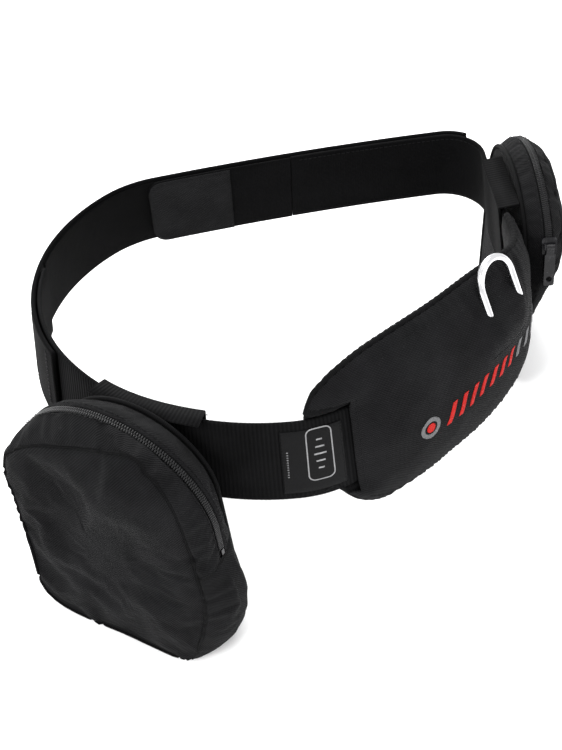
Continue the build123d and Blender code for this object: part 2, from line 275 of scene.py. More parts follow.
def scattered(name, template, faces, places, axes):
    """Copies of one small shape in one mesh: places are points, axes three directions for each."""
    template = np.asarray(template, float)
    points = places[:, None, :] + np.einsum("ki,nij->nkj", template, axes)
    size = len(template)
    all_faces = [[i + n * size for i in face] for n in range(len(places)) for face in faces]
    return mesh_piece(name, points, all_faces, tidy=False)


def capsule(length, radius, squash=1.0):
    """Template of a short rounded rod along x, slightly flattened in z."""
    sides = 6
    stations = [(-0.5, 0.0), (-0.42, 0.7), (-0.2, 1.0), (0.2, 1.0), (0.42, 0.7), (0.5, 0.0)]
    points, faces = [], []
    for x, share in stations[1:-1]:
        for k in range(sides):
            a = 2 * pi * k / sides
            points.append((x * length, radius * share * cos(a), radius * share * squash * sin(a)))
    ends = (len(points), len(points) + 1)
    points += [(-0.5 * length, 0, 0), (0.5 * length, 0, 0)]
    for ring in range(3):
        for k in range(sides):
            a, b = ring * sides + k, ring * sides + (k + 1) % sides
            faces.append((a, a + sides, b + sides, b))
    for k in range(sides):
        faces.append((ends[0], k, (k + 1) % sides))
        faces.append((ends[1], 3 * sides + (k + 1) % sides, 3 * sides + k))
    return points, faces


def along_path(path, outward, pitch):
    """Evenly spaced places on a path of points, with axes along it, beside it and outward."""
    run = run_along(path)
    at = np.arange(pitch / 2, run[-1], pitch)

    def sampled(values, shift=0.0):
        return np.stack([np.interp(at + shift, run, values[:, i]) for i in range(3)], -1)

    ahead = unit(sampled(path, 0.1) - sampled(path, -0.1))
    out = square_to(ahead, sampled(outward))
    return sampled(path), np.stack([ahead, np.cross(out, ahead), out], 1)


def stitches(name, path, outward, material, body, pitch=3.0, length=2.3, radius=0.28):
    """A row of stitches that lie on a path."""
    places, axes = along_path(path, outward, pitch)
    piece = scattered(name, *capsule(length, radius, squash=0.7), places, axes)
    return finish_piece(piece, material, body)


# ---------------------------------------------------------------- materials


class Nodes:
    """Short calls for a material's nodes."""

    def __init__(self, name):
        self.material = bpy.data.materials.new(name)
        self.material.use_nodes = True
        self.tree = self.material.node_tree
        self.shader = self.tree.nodes["Principled BSDF"]

    def add(self, kind, **settings):
        node = self.tree.nodes.new(kind)
        for key, value in settings.items():
            setattr(node, key, value)
        return node

    def link(self, value, socket):
        if isinstance(value, bpy.types.NodeSocket):
            self.tree.links.new(value, socket)
        else:
            socket.default_value = value

    def math(self, operation, *values):
        node = self.add("ShaderNodeMath", operation=operation)
        for value, socket in zip(values, node.inputs):
            self.link(value, socket)
        return node.outputs[0]

    def weave(self):
        """The weave coordinates in millimetres, as two sockets."""
        where = self.add("ShaderNodeUVMap", uv_map="weave").outputs[0]
        split = self.add("ShaderNodeSeparateXYZ")
        self.link(where, split.inputs[0])
        return split.outputs[0], split.outputs[1]

    def wave(self, value, pitch, phase=0.0):
        """A sine from 0 to 1 with a pitch in millimetres."""
        turned = self.math("MULTIPLY_ADD", value, 2 * pi / pitch, phase)
        return self.math("MULTIPLY_ADD", self.math("SINE", turned), 0.5, 0.5)

    def noise(self, scale, detail=3.0, roughness=0.55):
        """Noise in object space, with a size in metres."""
        where = self.add("ShaderNodeTexCoord").outputs["Object"]
        node = self.add("ShaderNodeTexNoise")
        self.link(where, node.inputs["Vector"])
        node.inputs["Scale"].default_value = 1 / scale
        node.inputs["Detail"].default_value = detail
        node.inputs["Roughness"].default_value = roughness
        return node.outputs[0]

    def mix(self, share, low, high):
        node = self.add("ShaderNodeMix", data_type="RGBA")
        self.link(share, node.inputs[0])
        self.link((*low, 1) if isinstance(low, tuple) else low, node.inputs[6])
        self.link((*high, 1) if isinstance(high, tuple) else high, node.inputs[7])
        return node.outputs[2]

    def spread(self, value, low, high, to_low, to_high):
        node = self.add("ShaderNodeMapRange")
        for entry, socket in zip((value, low, high, to_low, to_high), node.inputs):
            self.link(entry, socket)
        return node.outputs[0]

    def bump(self, height, distance, strength=1.0, before=None):
        node = self.add("ShaderNodeBump")
        node.inputs["Strength"].default_value = strength
        node.inputs["Distance"].default_value = distance
        self.link(height, node.inputs["Height"])
        if before is not None:
            self.link(before, node.inputs["Normal"])
        return node.outputs[0]

    def surface(self, **values):
        for name, value in values.items():
            self.link(value, self.shader.inputs[name.replace("_", " ")])
        return self.material


CLOTH_TONE = 0.2  # share of the listed colours that black cloth shows


def cloth(name, dark, light, pitch, kind, relief=0.00012, rough=(0.72, 0.92), sheen=0.01, fade=0.4,
          shine=0.06):
    """Woven cloth. kind is twill, plain, rib or pile; pitch is the size of its weave in millimetres."""
    n = Nodes(name)
    dark, light = (tuple(c * CLOTH_TONE for c in colour) for colour in (dark, light))
    u, v = n.weave()
    if kind == "twill":
        line = n.math("POWER", n.wave(n.math("ADD", u, v), pitch), 1.6)
        cross = n.wave(n.math("SUBTRACT", u, v), pitch * 0.62)
        height = n.math("MULTIPLY_ADD", cross, 0.2, n.math("MULTIPLY", line, 0.8))
    elif kind == "plain":
        warp = n.wave(u, pitch)
        weft = n.wave(v, pitch, pi / 2)
        height = n.math("MAXIMUM", warp, weft)
    elif kind == "rib":
        line = n.wave(v, pitch * 0.5)
        height = n.math("MULTIPLY_ADD", line, 0.12, n.math("MULTIPLY", n.wave(u, pitch), 0.88))
    else:
        height = n.noise(pitch * MM, 4.0, 0.7)
    fine = n.noise(0.0006, 2.0)
    broad = n.noise(0.028, 4.0, 0.6)
    dust = n.spread(n.noise(0.0022, 5.0, 0.75), 0.62, 0.74, 0.0, 1.0)
    # thread mixes random thread tone with the weave's height: on twill, plain and rib weaves the raised threads
    # are painted lighter as a highlight and the grooves darker as shade; on pile the height is noise and only
    # varies the tone
    thread = n.math("MULTIPLY_ADD", fine, 0.35, n.math("MULTIPLY", height, 0.65))
    patches = n.spread(broad, 0.35, 0.7, 0.0, 1.0)
    # broad random patches of wear mixed with the painted weave highlight and shade from thread
    wear_and_weave_highlight = n.math("MULTIPLY_ADD", patches, fade, n.math("MULTIPLY", thread, 1 - fade))
    colour = n.mix(wear_and_weave_highlight, dark, light)
    lint = tuple(min(1.0, c * 2.2 + 0.01) for c in light)
    colour = n.mix(n.math("MULTIPLY", dust, 0.35), colour, lint)
    coarse = n.bump(fine, 0.00005, 0.6)
    normal = n.bump(height, relief, 1.0, coarse)
    roughness = n.spread(thread, 0.0, 1.0, rough[1], rough[0])
    return n.surface(Base_Color=colour, Roughness=roughness, Normal=normal, Sheen_Weight=sheen,
                     Sheen_Roughness=0.45, Specular_IOR_Level=shine)


def moulded(name, dark, light, rough=(0.28, 0.5), grain=0.0004):
    """Moulded nylon or lacquered metal with fine grain and scuffed high spots."""
    n = Nodes(name)
    grit = n.noise(grain, 3.0)
    scuff = n.spread(n.noise(0.003, 6.0, 0.7), 0.5, 0.72, 0.0, 1.0)
    colour = n.mix(scuff, dark, light)
    roughness = n.spread(scuff, 0.0, 1.0, rough[0], rough[1])
    return n.surface(Base_Color=colour, Roughness=roughness, Normal=n.bump(grit, 0.00003, 0.5),
                     Specular_IOR_Level=0.25)


def polished(name):
    """Polished stainless steel with hairline scratches and smudges."""
    n = Nodes(name)
    smudge = n.noise(0.006, 4.0, 0.6)
    hair = n.add("ShaderNodeTexNoise")
    scale = n.add("ShaderNodeMapping")
    scale.inputs["Scale"].default_value = (300, 300, 4000)
    n.link(n.add("ShaderNodeTexCoord").outputs["Object"], scale.inputs[0])
    n.link(scale.outputs[0], hair.inputs["Vector"])
    colour = n.mix(smudge, (0.72, 0.72, 0.74), (0.86, 0.86, 0.87))
    roughness = n.spread(smudge, 0.3, 0.7, 0.10, 0.24)
    return n.surface(Base_Color=colour, Roughness=roughness, Normal=n.bump(hair.outputs[0], 0.00001, 0.25),
                     Metallic=1.0)


def shot(name):
    """Lead shot seen through a thin mesh bag, each ball painted lighter in its middle as a highlight and darker
    towards the gaps as shade.
    """
    n = Nodes(name)
    where = n.add("ShaderNodeTexCoord").outputs["Object"]
    cells = n.add("ShaderNodeTexVoronoi")
    n.link(where, cells.inputs["Vector"])
    cells.inputs["Scale"].default_value = 400
    ball_dome_and_shade = n.math("SUBTRACT", 1.0, cells.outputs["Distance"])
    # painted highlight on each ball's middle and painted shade in the gaps between balls; the same dome also
    # sets roughness and bump
    colour = n.mix(ball_dome_and_shade, (0.06, 0.06, 0.065), (0.24, 0.24, 0.25))
    return n.surface(Base_Color=colour, Roughness=n.spread(ball_dome_and_shade, 0, 1, 0.7, 0.4), Normal=n.bump(ball_dome_and_shade, 0.0008),
                     Metallic=0.6)


WEBBING = cloth("webbing", (0.004, 0.004, 0.0045), (0.034, 0.034, 0.036), 2.1, "rib", shine=0.04)
STRAP = cloth("strap_cloth", (0.004, 0.004, 0.0045), (0.016, 0.016, 0.0175), 1.1, "plain", shine=0.03)
PILE = cloth("loop_pile", (0.004, 0.004, 0.0045), (0.016, 0.016, 0.017), 0.5, "pile", 0.0004, (0.9, 1.0))
PATCH = cloth("twill_patch", (0.010, 0.010, 0.011), (0.085, 0.085, 0.090), 1.6, "twill", 0.0003)
LABEL = cloth("label_cloth", (0.010, 0.010, 0.011), (0.026, 0.026, 0.028), 0.5, "plain", 0.00004, (0.4, 0.6))
PAD = cloth("pad_cloth", (0.008, 0.008, 0.009), (0.060, 0.060, 0.064), 1.5, "twill", 0.0003)
LINING = cloth("lining_cloth", (0.006, 0.006, 0.0065), (0.018, 0.018, 0.020), 0.9, "plain")
POUCH = cloth("pouch_cloth", (0.007, 0.007, 0.008), (0.060, 0.060, 0.064), 1.5, "twill", 0.0003)
BINDING = cloth("binding_tape", (0.006, 0.006, 0.0065), (0.024, 0.024, 0.026), 0.9, "rib")
TAPE = cloth("zip_tape", (0.005, 0.005, 0.0055), (0.020, 0.020, 0.022), 0.8, "twill")
THREAD = cloth("thread", (0.014, 0.014, 0.015), (0.050, 0.050, 0.054), 0.4, "pile", 0.0001, (0.45, 0.7))
PRINT = moulded("label_print", (0.20, 0.20, 0.205), (0.34, 0.34, 0.345), (0.5, 0.7))
RED = cloth("motif_red", (1.3, 0.040, 0.034), (3.0, 0.13, 0.11), 0.45, "pile", 0.0001, (0.35, 0.6), fade=0.2)
GREY = cloth("motif_grey", (0.34, 0.34, 0.35), (1.1, 1.1, 1.13), 0.45, "pile", 0.0001, (0.35, 0.6), fade=0.2)
COIL = moulded("zip_coil", (0.003, 0.003, 0.0035), (0.012, 0.012, 0.013), (0.38, 0.6))
BLACK_METAL = moulded("black_metal", (0.006, 0.006, 0.007), (0.030, 0.030, 0.032), (0.22, 0.45))
STEEL = polished("polished_steel")
SHOT = shot("lead_shot")

# ---------------------------------------------------------------- belt


def strip(name, start, end, inner, outer, material, slot, body, nodes=(), low=-25.0, high=25.0, step=2.0,
          steps=16, relief=None, ends=0.0, rounding=0.5):
    """A flat strip along the belt. Its free end has corners of radius ends, and relief raises its faces."""
    along = np.linspace(start, end, max(3, int((end - start) / step)))
    profile, side = slab_section(low, high, inner, outer, steps, rounding)
    share = np.ones_like(along)
    if ends:
        into = np.clip(ends - (end - along), 0, ends)
        share = (high - ends + np.sqrt(ends * ends - into * into * 0.999)) / high
    across = profile[None, :, 1] * share[:, None]
    offset = np.repeat(profile[None, :, 0], len(along), 0)
    if relief is not None:
        offset = offset + side[None, :] * relief(along[:, None], across, side[None, :])
    rings = belt_point(along[:, None], offset, across)
    piece = swept(name, rings, uvs=pairs(along, run_along(profile)))
    return piece if material is None else finish_piece(piece, material, body, nodes)


RIB = 2.1


def ribs(along, across, side):
    """Ribs across the webbing, deepest in its middle."""
    return 0.24 * np.abs(np.sin(pi * along / RIB)) ** 0.8 - 0.12


def belt_ripple(along, across, size, seed):
    return ripple(np.stack([along, across, 0 * along], -1), size, seed)


def gentle(seed, height=0.25, size=24.0):
    """Slight waviness of a flat strap."""
    def relief(along, across, side):
        along, across = np.broadcast_arrays(along, across)
        return height * belt_ripple(along, across, size, seed) * side
    return relief


def belt_line(start, end, offset, across, step=1.5):
    """A path on the belt, with the outward direction beside it."""
    along = np.arange(start, end, step)
    path = belt_point(along, offset, across)
    return path, belt_point(along, offset + 1, across) - path


def stroke(name, path, width, height, place, closed=False):
    """A raised line through flat points, laid on the belt: place(x, y, h) gives where a point goes."""
    path = np.asarray(path, float)
    ahead = round_heading(path) if closed else unit(np.gradient(path, axis=0))
    beside = left_of(ahead) * width / 2
    corners = [(-1, -0.1), (-0.8, height), (0.8, height), (1, -0.1)]
    rings = [place(*(path + beside * k).T, h) for k, h in corners]
    return swept(name, np.stack(rings, 1), closed)


def rounded_box(width, height, radius, steps=6):
    """Points round a rectangle with rounded corners."""
    points = []
    for quarter, (x, y) in enumerate([(1, 1), (-1, 1), (-1, -1), (1, -1)]):
        for a in np.linspace(0, pi / 2, steps):
            turn = a + quarter * pi / 2
            points.append((x * (width / 2 - radius) + radius * cos(turn),
                           y * (height / 2 - radius) + radius * sin(turn)))
    return points


def on_belt(along, across, offset):
    """Places a flat drawing's point (x, y, height) on the belt, with x along it."""
    def place(x, y, h):
        return belt_point(along + x, offset + h, across + y)
    return place


WEBBING_ENDS = (-77, 232)
LEFT_STRAP_ENDS = (447, 827)
LOOP_PANEL_ENDS = (486, 747)
RIGHT_STRAP_ENDS = (232.5, 560)
TACKS_AT = (755.0, 787.0, 819.0)
TAB_ENDS = (560.4, 651.0)
LABEL_ENDS = (134, 166)
LABEL_DOTS_AT = 137.2


def make_belt():
    inner, outer = -PLY - 0.1, -0.1
    strip("webbing_piece", *WEBBING_ENDS, inner, outer, WEBBING, "webbing", "belt", ["belt_webbing"],
          step=0.35, steps=9, relief=ribs, rounding=1.0)
    strip("left_strap_piece", *LEFT_STRAP_ENDS, 1.1, 1.1 + PLY, STRAP, "strap_cloth", "belt", ["left_strap"],
          steps=18, relief=gentle(3), rounding=0.8)
    strip("loop_pile_piece", *LOOP_PANEL_ENDS, 0.1, 1.15, PILE, "loop_pile", "belt", ["loop_panel"],
          low=-23, high=23, step=1.5, steps=22, relief=gentle(5, 0.14, 2.2))
    strip("right_strap_piece", *RIGHT_STRAP_ENDS, inner, outer, STRAP, "strap_cloth", "belt", ["right_strap"],
          steps=18, relief=gentle(4, 0.2), rounding=0.8)
    rows = (
        ("left", "", 449, 825, 3.42, 1),
        ("right", "", 345, 558, -0.08, 1),
        ("right", "_inner", 345, 558, -2.45, -1),
    )
    for side, across in (("lower", -22.6), ("upper", 22.6)):
        for name, face, start, end, offset, facing in rows:
            path, out = belt_line(start, end, offset, across)
            stitches(f"{name}_strap_{side}{face}_stitches", path, facing * out, THREAD, "belt")
    for index, along in enumerate(TACKS_AT):
        across = np.linspace(-21, 21, 60)
        path = belt_point(along, 3.5, across)
        zigzag = np.sign(np.sin(np.arange(60) * pi / 2 + 0.8))[:, None]
        path[:, :2] += (belt_axes(along)[0][:2] * 0.9)[None, :] * zigzag
        out = np.repeat(belt_axes(along)[2][None, :], 60, 0)
        stitches(f"bar_tack_{index + 1}", path, out, THREAD, "belt", 0.9, 1.9, 0.3)
    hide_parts("strap_bar_tacks")


def make_tab():
    """Closure tab with its hooks and its twill patch."""
    start, end = TAB_ENDS
    pieces = [
        strip("tab_cloth_piece", start, end, -2.4, -1.2, None, None, None, ends=9.0, step=1.2, steps=14),
        strip("hook_piece", start + 2, end - 3, -1.1, -0.2, None, None, None, low=-22, high=22, ends=7.0,
              step=1.0, steps=24, relief=gentle(8, 0.12, 1.4)),
        strip("tab_patch_piece", end - 52, end - 0.2, -3.3, -2.45, None, None, None, low=-24.6, high=24.6,
              ends=9.0, step=1.2, steps=14, relief=gentle(9, 0.12, 16)),
    ]
    looks = [
        (STRAP, "strap_cloth", "closure_tab"),
        (HOOKS, "hook_plastic", "hook_panel"),
        (PATCH, "twill_patch", "tab_patch"),
    ]
    edge = [(end - 50.5, y) for y in np.linspace(-22.5, 22.5, 24)]
    corner = [(end - 11 + 9 * cos(a), 14 + 8.6 * sin(a)) for a in np.linspace(pi / 2, 0, 8)]
    top = [(x, 22.6) for x in np.linspace(end - 50, end - 11, 22)]
    upper = top + corner
    loop = np.array(edge + upper + [(x, -y) for x, y in upper[::-1]])
    path = belt_point(loop[:, 0], -3.32, loop[:, 1])
    out = path - belt_point(loop[:, 0], -2.3, loop[:, 1])
    places, axes = along_path(path, out, 3.0)
    pieces.append(scattered("tab_stitches", *capsule(2.3, 0.28, squash=0.7), places, axes))
    looks.append((THREAD, "thread", None))
    begin, finish = belt_point(start, -2.4, 0) * MM, belt_point(start + 30, -2.4, 0) * MM
    for piece, (material, slot, node) in zip(pieces, looks):
        piece.data.materials.append(material)
        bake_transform(piece)
        if node:
            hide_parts(node)


HOOKS = moulded("hook_plastic", (0.003, 0.003, 0.0035), (0.014, 0.014, 0.015), (0.35, 0.6))


def make_label():
    """Woven label with a printed frame, a row of plain marks and a row of dots."""
    strip("label_piece", *LABEL_ENDS, 0.05, 0.55, LABEL, "label_cloth", "belt", ["size_label"],
          low=-20, high=20, step=1.0, steps=14, relief=gentle(6, 0.05, 6), rounding=0.25)
    place = on_belt(153.5, 3.5, 0.57)
    frame_line = stroke("label_frame", rounded_box(13.0, 36.0 * 0.92, 3.4), 0.75, 0.12, place, closed=True)
    finish_piece(frame_line, PRINT, "belt")
    for index, length in enumerate((3.0, 4.6, 6.2, 4.6, 3.0)):
        y = 9.5 - index * 4.6
        bar = stroke(f"label_mark_{index + 1}", [(-length / 2, y), (0, y), (length / 2, y)], 1.1, 0.12, place)
        finish_piece(bar, PRINT, "belt")
    marks = belt_point(LABEL_DOTS_AT, 0.6, np.linspace(-9, 7, 11))
    axes = np.repeat(np.stack(belt_axes(LABEL_DOTS_AT))[None], 11, 0)
    dots = scattered("label_dots_1", *capsule(1.0, 0.28, squash=0.5), marks, axes)
    finish_piece(dots, PRINT, "belt")
    corner = [(134.8, -19.2), (165.2, -19.2), (165.2, 19.2), (134.8, 19.2), (134.8, -19.2)]
    corner = belt_point([x for x, _ in corner], 0.6, [y for _, y in corner])
    path = np.concatenate([np.linspace(a, b, 20) for a, b in zip(corner, corner[1:])])
    out = np.repeat(belt_axes(150)[2][None, :], len(path), 0)
    stitches("label_stitches", path, out, THREAD, "belt", 2.0, 1.5, 0.2)


# ---------------------------------------------------------------- hip pad

PAD_STATIONS = np.array([
    (146.5, 6.0, 24.0, 0.5),
    (150.0, -14.0, 34.0, 1.0),
    (160.0, -21.0, 45.0, 3.5),
    (171.0, -36.0, 50.0, 7.0),
    (184.0, -46.0, 52.0, 9.5),
    (200.0, -49.0, 52.0, 12.0),
    (235.0, -50.0, 50.0, 14.0),
    (265.0, -51.0, 48.5, 13.3),
    (281.0, -49.5, 46.5, 12.0),
    (291.0, -47.0, 44.5, 11.0),
    (301.0, -43.5, 42.0, 9.5),
    (311.0, -39.0, 39.0, 7.5),
    (322.0, -30.0, 36.5, 5.6),
    (332.0, -18.0, 34.5, 4.2),
    (342.0, -2.0, 33.0, 3.0),
    (351.0, 14.0, 31.0, 2.2),
])
PAD_SLOT = 171.0
SLOT_LOW, SLOT_HIGH = -29.0, 31.5
PAD_END = 350.5


def curve_through(values, at):
    """A smooth curve through station values, by cubic Hermite pieces."""
    x = PAD_STATIONS[:, 0]
    slope = np.gradient(values, x)
    at = np.clip(at, x[0], x[-1])
    i = np.clip(np.searchsorted(x, at) - 1, 0, len(x) - 2)
    h = x[i + 1] - x[i]
    return hermite((at - x[i]) / h, h, values, slope, i)


def smooth_step(x, low, high):
    t = np.clip((x - low) / (high - low), 0, 1)
    return t * t * (3 - 2 * t)


def pad_edges(along):
    return tuple(curve_through(PAD_STATIONS[:, k], along) for k in (1, 2, 3))


def pad_face(along, across):
    """Offset of the pad's outer face, without its creases."""
    along, across = np.broadcast_arrays(np.asarray(along, float), np.asarray(across, float))
    low, high, bulge = pad_edges(along)
    t = np.clip(np.abs(across - (low + high) / 2) / ((high - low) / 2), 0, 1)
    crown = (1 - t**2.3) ** 0.66
    ridge = smooth_step(along, 305, 335) * np.exp(-((across - 16) / 7.0) ** 2) * 1.8 * (1 - t**2)
    below_top = 1 - smooth_step(across, SLOT_HIGH - 8, SLOT_HIGH + 6)
    pressed = smooth_step(across, SLOT_LOW - 6, SLOT_LOW + 8) * below_top
    rise = 1 - pressed * (1 - smooth_step(along, PAD_SLOT - 2, PAD_SLOT + 17)) * 0.78
    return 0.4 + (bulge * crown + ridge) * rise + ring_fold(along, across)


def ring_fold(along, across):
    """Height of the fold of cloth that holds the ring's bar."""
    beside = (along - RING_PLACE[0]) / 21.0
    up = smooth_step(across, -8, 22) * (1 - smooth_step(across, 26, 36))
    return 7.5 * np.exp(-beside**4) * up


def pad_creases(along, across):
    """Waves of the pad's cloth: broad slack, puckers at the sewn edge and folds by the ring."""
    low, high, _ = pad_edges(along)
    edge = np.minimum(across - low, high - across)
    slack = 0.55 * belt_ripple(along, across * 1.4, 21, 11)
    pucker = 0.45 * np.exp(-edge / 4.5) * np.sin(along * 2 * pi / 6.3 + 1.6 * np.sin(along / 9.0))
    inside = smooth_step(edge, 0.0, 6.0)
    left = ((along - 259 + 0.35 * (across - 20)) / 3.2) ** 2
    right = ((along - 292 - 0.4 * (across - 20)) / 3.4) ** 2
    fold = -1.5 * np.exp(-left) * smooth_step(across, -6, 24) * inside
    fold -= 1.3 * np.exp(-right) * smooth_step(across, 2, 24) * inside
    dart = -1.2 * np.exp(-((across - 22 + 0.15 * (along - 330)) / 2.2) ** 2) * smooth_step(along, 318, 336)
    return slack * inside * smooth_step(along, 150, 180) + pucker + fold + dart * inside


def on_pad(along, across, lift):
    """Places at a height above the pad's creased face."""
    return belt_point(along, pad_face(along, across) + pad_creases(along, across) + lift, across)


def pad_grid(columns, t):
    """Distances along and across for each column, from the pad's lower edge to its upper one."""
    low, high, _ = pad_edges(columns)
    across = (low + high)[:, None] / 2 + (high - low)[:, None] / 2 * t[None, :]
    return np.repeat(columns[:, None], len(t), 1), across


def make_pad():
    columns = np.concatenate([np.arange(147, PAD_SLOT, 1.0), np.arange(PAD_SLOT, PAD_END + 0.5, 1.25)])
    t = np.sin(np.linspace(-pi / 2, pi / 2, 82))
    along, across = pad_grid(columns, t)
    offset = pad_face(along, across) + pad_creases(along, across)
    points = belt_point(along, np.maximum(offset, 0.35), across)
    rows, size = across.shape
    faces = []
    for i in range(rows - 1):
        for k in range(size - 1):
            centre = across[i:i + 2, k:k + 2].mean()
            if along[i, k] < PAD_SLOT and SLOT_LOW < centre < SLOT_HIGH:
                continue
            a = i * size + k
            faces.append((a, a + size, a + size + 1, a + 1))
    uvs = np.stack([along, across], -1)
    panel = mesh_piece("pad_panel_piece", points, faces, uvs, tidy=False)
    with editing(panel.data) as work:
        bmesh.ops.delete(work, geom=[v for v in work.verts if not v.link_faces], context="VERTS")
        bmesh.ops.recalc_face_normals(work, faces=work.faces)
    outward = Vector(belt_axes(235)[2])
    middle = panel.data.polygons[len(panel.data.polygons) // 2]
    if middle.normal.dot(outward) < 0:
        panel.data.flip_normals()
    thicken(panel, 1.1)
    finish_piece(panel, PAD, "belt", ["pad_outer_panel", "pad_foam"])
    make_lining(columns, t)
    make_pad_edge()
    make_motif()


def make_lining(columns, t):
    """Padded back of the hip pad, which fills the crescent behind the belt."""
    along, across = pad_grid(columns, t)
    beside = smooth_step(np.abs(across), 25.3, 27.0)
    front = -2.75 + beside * 3.0
    crown = (1 - np.clip(np.abs(t), 0, 1) ** 2.6)[None, :] ** 0.6 * smooth_step(along, 146, 158)
    crown = crown * (1 - 0.6 * smooth_step(along, 325, 350))
    back = -3.0 - 4.6 * crown - 0.35 * crown * belt_ripple(along, across, 16, 21)
    sewn = smooth_step(along, 165, 185) * (1 - smooth_step(along, 300, 320))
    channel = 0.9 * np.exp(-((across - 5) / 1.6) ** 2) * sewn
    rear = belt_point(along, back + channel, across)[:, ::-1]
    rings = np.concatenate([belt_point(along, front, across), rear], 1)
    uvs = np.concatenate([np.stack([along, across], -1), np.stack([along, across + 100], -1)[:, ::-1]], 1)
    piece = swept("pad_lining_piece", rings, uvs=uvs)
    finish_piece(piece, LINING, "belt", ["pad_lining"])


def make_pad_edge():
    """Rolled seam round the pad, and the stitching beside it."""
    columns = np.linspace(148, PAD_END, 166)
    low, high, _ = pad_edges(columns)
    tip = np.linspace(pi / 2, -pi / 2, 8)[1:-1]
    middle, half = (low[-1] + high[-1]) / 2, (high[-1] - low[-1]) / 2
    along = np.concatenate([columns, PAD_END + 1.5 * np.cos(tip), columns[::-1]])
    across = np.concatenate([high, middle + half * np.sin(tip), low[::-1]])
    turn = circle(8)
    beside = left_of(unit(np.gradient(np.stack([along, across], -1), axis=0)))
    reach, rise = 1.5 * np.cos(turn), 1.7 * np.sin(turn)
    wobble = 1 + 0.10 * np.sin(np.arange(len(along)) * 1.9)[:, None]
    rings = belt_point(along[:, None] + beside[:, :1] * reach, -1.3 + rise[None, :] * wobble,
                       across[:, None] + beside[:, 1:] * reach * wobble)
    piece = swept("pad_edge_piece", rings, closed=False)
    finish_piece(piece, BINDING, "belt", ["pad_binding"])
    for name, edge, gap in (("upper", high, -4.2), ("lower", low, 4.2)):
        inset = slice(22, 150)
        line, at = edge[inset] + gap, columns[inset]
        path = on_pad(at, line, 0.08)
        out = belt_point(at, pad_face(at, line) + 5, line) - path
        stitches(f"pad_{name}_stitches", path, out, THREAD, "belt")
    across = np.linspace(SLOT_LOW + 1, SLOT_HIGH - 1, 40)
    at = np.full(40, PAD_SLOT + 3.2)
    path = on_pad(at, across, 0.1)
    stitches("slot_stitches", path, path - belt_point(at, -3, across), THREAD, "belt")


MOTIF_THREAD = 0.42


def embroidery(name, rows, material):
    """Satin stitch: each row is one thread from (x0, y0) to (x1, y1) on the pad's face."""
    rows = np.asarray(rows, float)
    middle = (rows[:, :2] + rows[:, 2:]) / 2
    near, far, centre = (on_pad(*points.T, 0.12) for points in (rows[:, :2], rows[:, 2:], middle))
    ahead = far - near
    length = np.linalg.norm(ahead, axis=1)[:, None]
    ahead /= length
    out = square_to(ahead, np.stack([belt_axes(x)[2] for x in middle[:, 0]]))
    axes = np.stack([ahead * length, np.cross(out, ahead), out], 1)
    piece = scattered(name, *capsule(1.0, MOTIF_THREAD * 0.62, squash=0.9), centre, axes)
    return finish_piece(piece, material, "belt")


def make_motif():
    """Plain ring badge and a row of slanted bars that grow shorter, all in satin stitch."""
    pitch = MOTIF_THREAD
    ring, core = [], []
    for y in np.arange(-6.5 + pitch / 2, 6.5, pitch):
        half = (6.5**2 - y * y) ** 0.5
        hole = (3.9**2 - y * y) ** 0.5 if abs(y) < 3.9 else 0.0
        if hole:
            ring += [(211 - half, y - 8, 211 - hole, y - 8), (211 + hole, y - 8, 211 + half, y - 8)]
        else:
            ring.append((211 - half, y - 8, 211 + half, y - 8))
        if abs(y) < 2.9:
            reach = (2.9**2 - y * y) ** 0.5
            core.append((211 - reach, y - 8, 211 + reach, y - 8))
    badge = embroidery("motif_ring", ring, GREY)
    embroidery("motif_core", core, RED)
    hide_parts("pad_motif")
    for index in range(11):
        centre = 226.5 + index * 8.6
        tall = 12.0 - 0.45 * index
        rows = []
        for y in np.arange(-tall / 2, tall / 2, pitch):
            x = centre + 0.45 * y
            rows.append((x - 1.9, y - 8.5, x + 1.9, y - 8.5))
        embroidery(f"motif_bar_{index + 1}", rows, RED if index < 7 else GREY)


# ---------------------------------------------------------------- D-ring

RING_WIRE = 4.0
RING_HALF_WIDTH = 12.5
RING_LEG = 19.0
RING_LEAN = radians(18.0)
RING_PLACE = (274.0, 14.2, 24.0)


def ring_place(x, y, z):
    """Places in the D-ring's own plane: x along its bar, y to its top, z outward."""
    ahead, up, out = belt_axes(RING_PLACE[0])
    top = up * cos(RING_LEAN) - out * sin(RING_LEAN)
    face = out * cos(RING_LEAN) + up * sin(RING_LEAN)
    x, y, z = np.broadcast_arrays(*(np.asarray(c, float) for c in (x, y, z)))
    return belt_point(*RING_PLACE) + x[..., None] * ahead + y[..., None] * top + z[..., None] * face


def make_ring():
    r = RING_HALF_WIDTH
    bend = 3.0
    corner = [(r - bend + bend * cos(a), bend + bend * sin(a)) for a in np.linspace(-pi / 2, 0, 7)]
    arch = [(r * cos(a), RING_LEG + r * sin(a)) for a in np.linspace(0, pi, 40)]
    legs = [(r, y) for y in np.linspace(bend + 1, RING_LEG - 1, 8)]
    path = [(x, 0.0) for x in np.linspace(-r + bend + 1, r - bend - 1, 12)] + corner + legs + arch
    path += [(-x, y) for x, y in legs[::-1]] + [(-x, y) for x, y in corner[::-1]]
    path = np.array(path)
    beside = -left_of(round_heading(path))
    turn = circle(20)
    reach = RING_WIRE / 2 * np.cos(turn)
    rings = ring_place(path[:, :1] + beside[:, :1] * reach, path[:, 1:] + beside[:, 1:] * reach,
                       np.repeat(RING_WIRE / 2 * np.sin(turn)[None, :], len(path), 0))
    ring = swept("d_ring_piece", rings, closed=True)
    finish_piece(ring, STEEL, "d_ring", ["d_ring"])
    swell = np.array([1.0, 1.06, 1.08, 1.06, 1.0])[:, None]
    weld = swept("d_ring_weld", ring_place(np.linspace(4.0, 5.6, 5)[:, None] + 0 * reach, swell * reach,
                                           swell * 2.0 * np.sin(turn)))
    finish_piece(weld, STEEL, "d_ring")


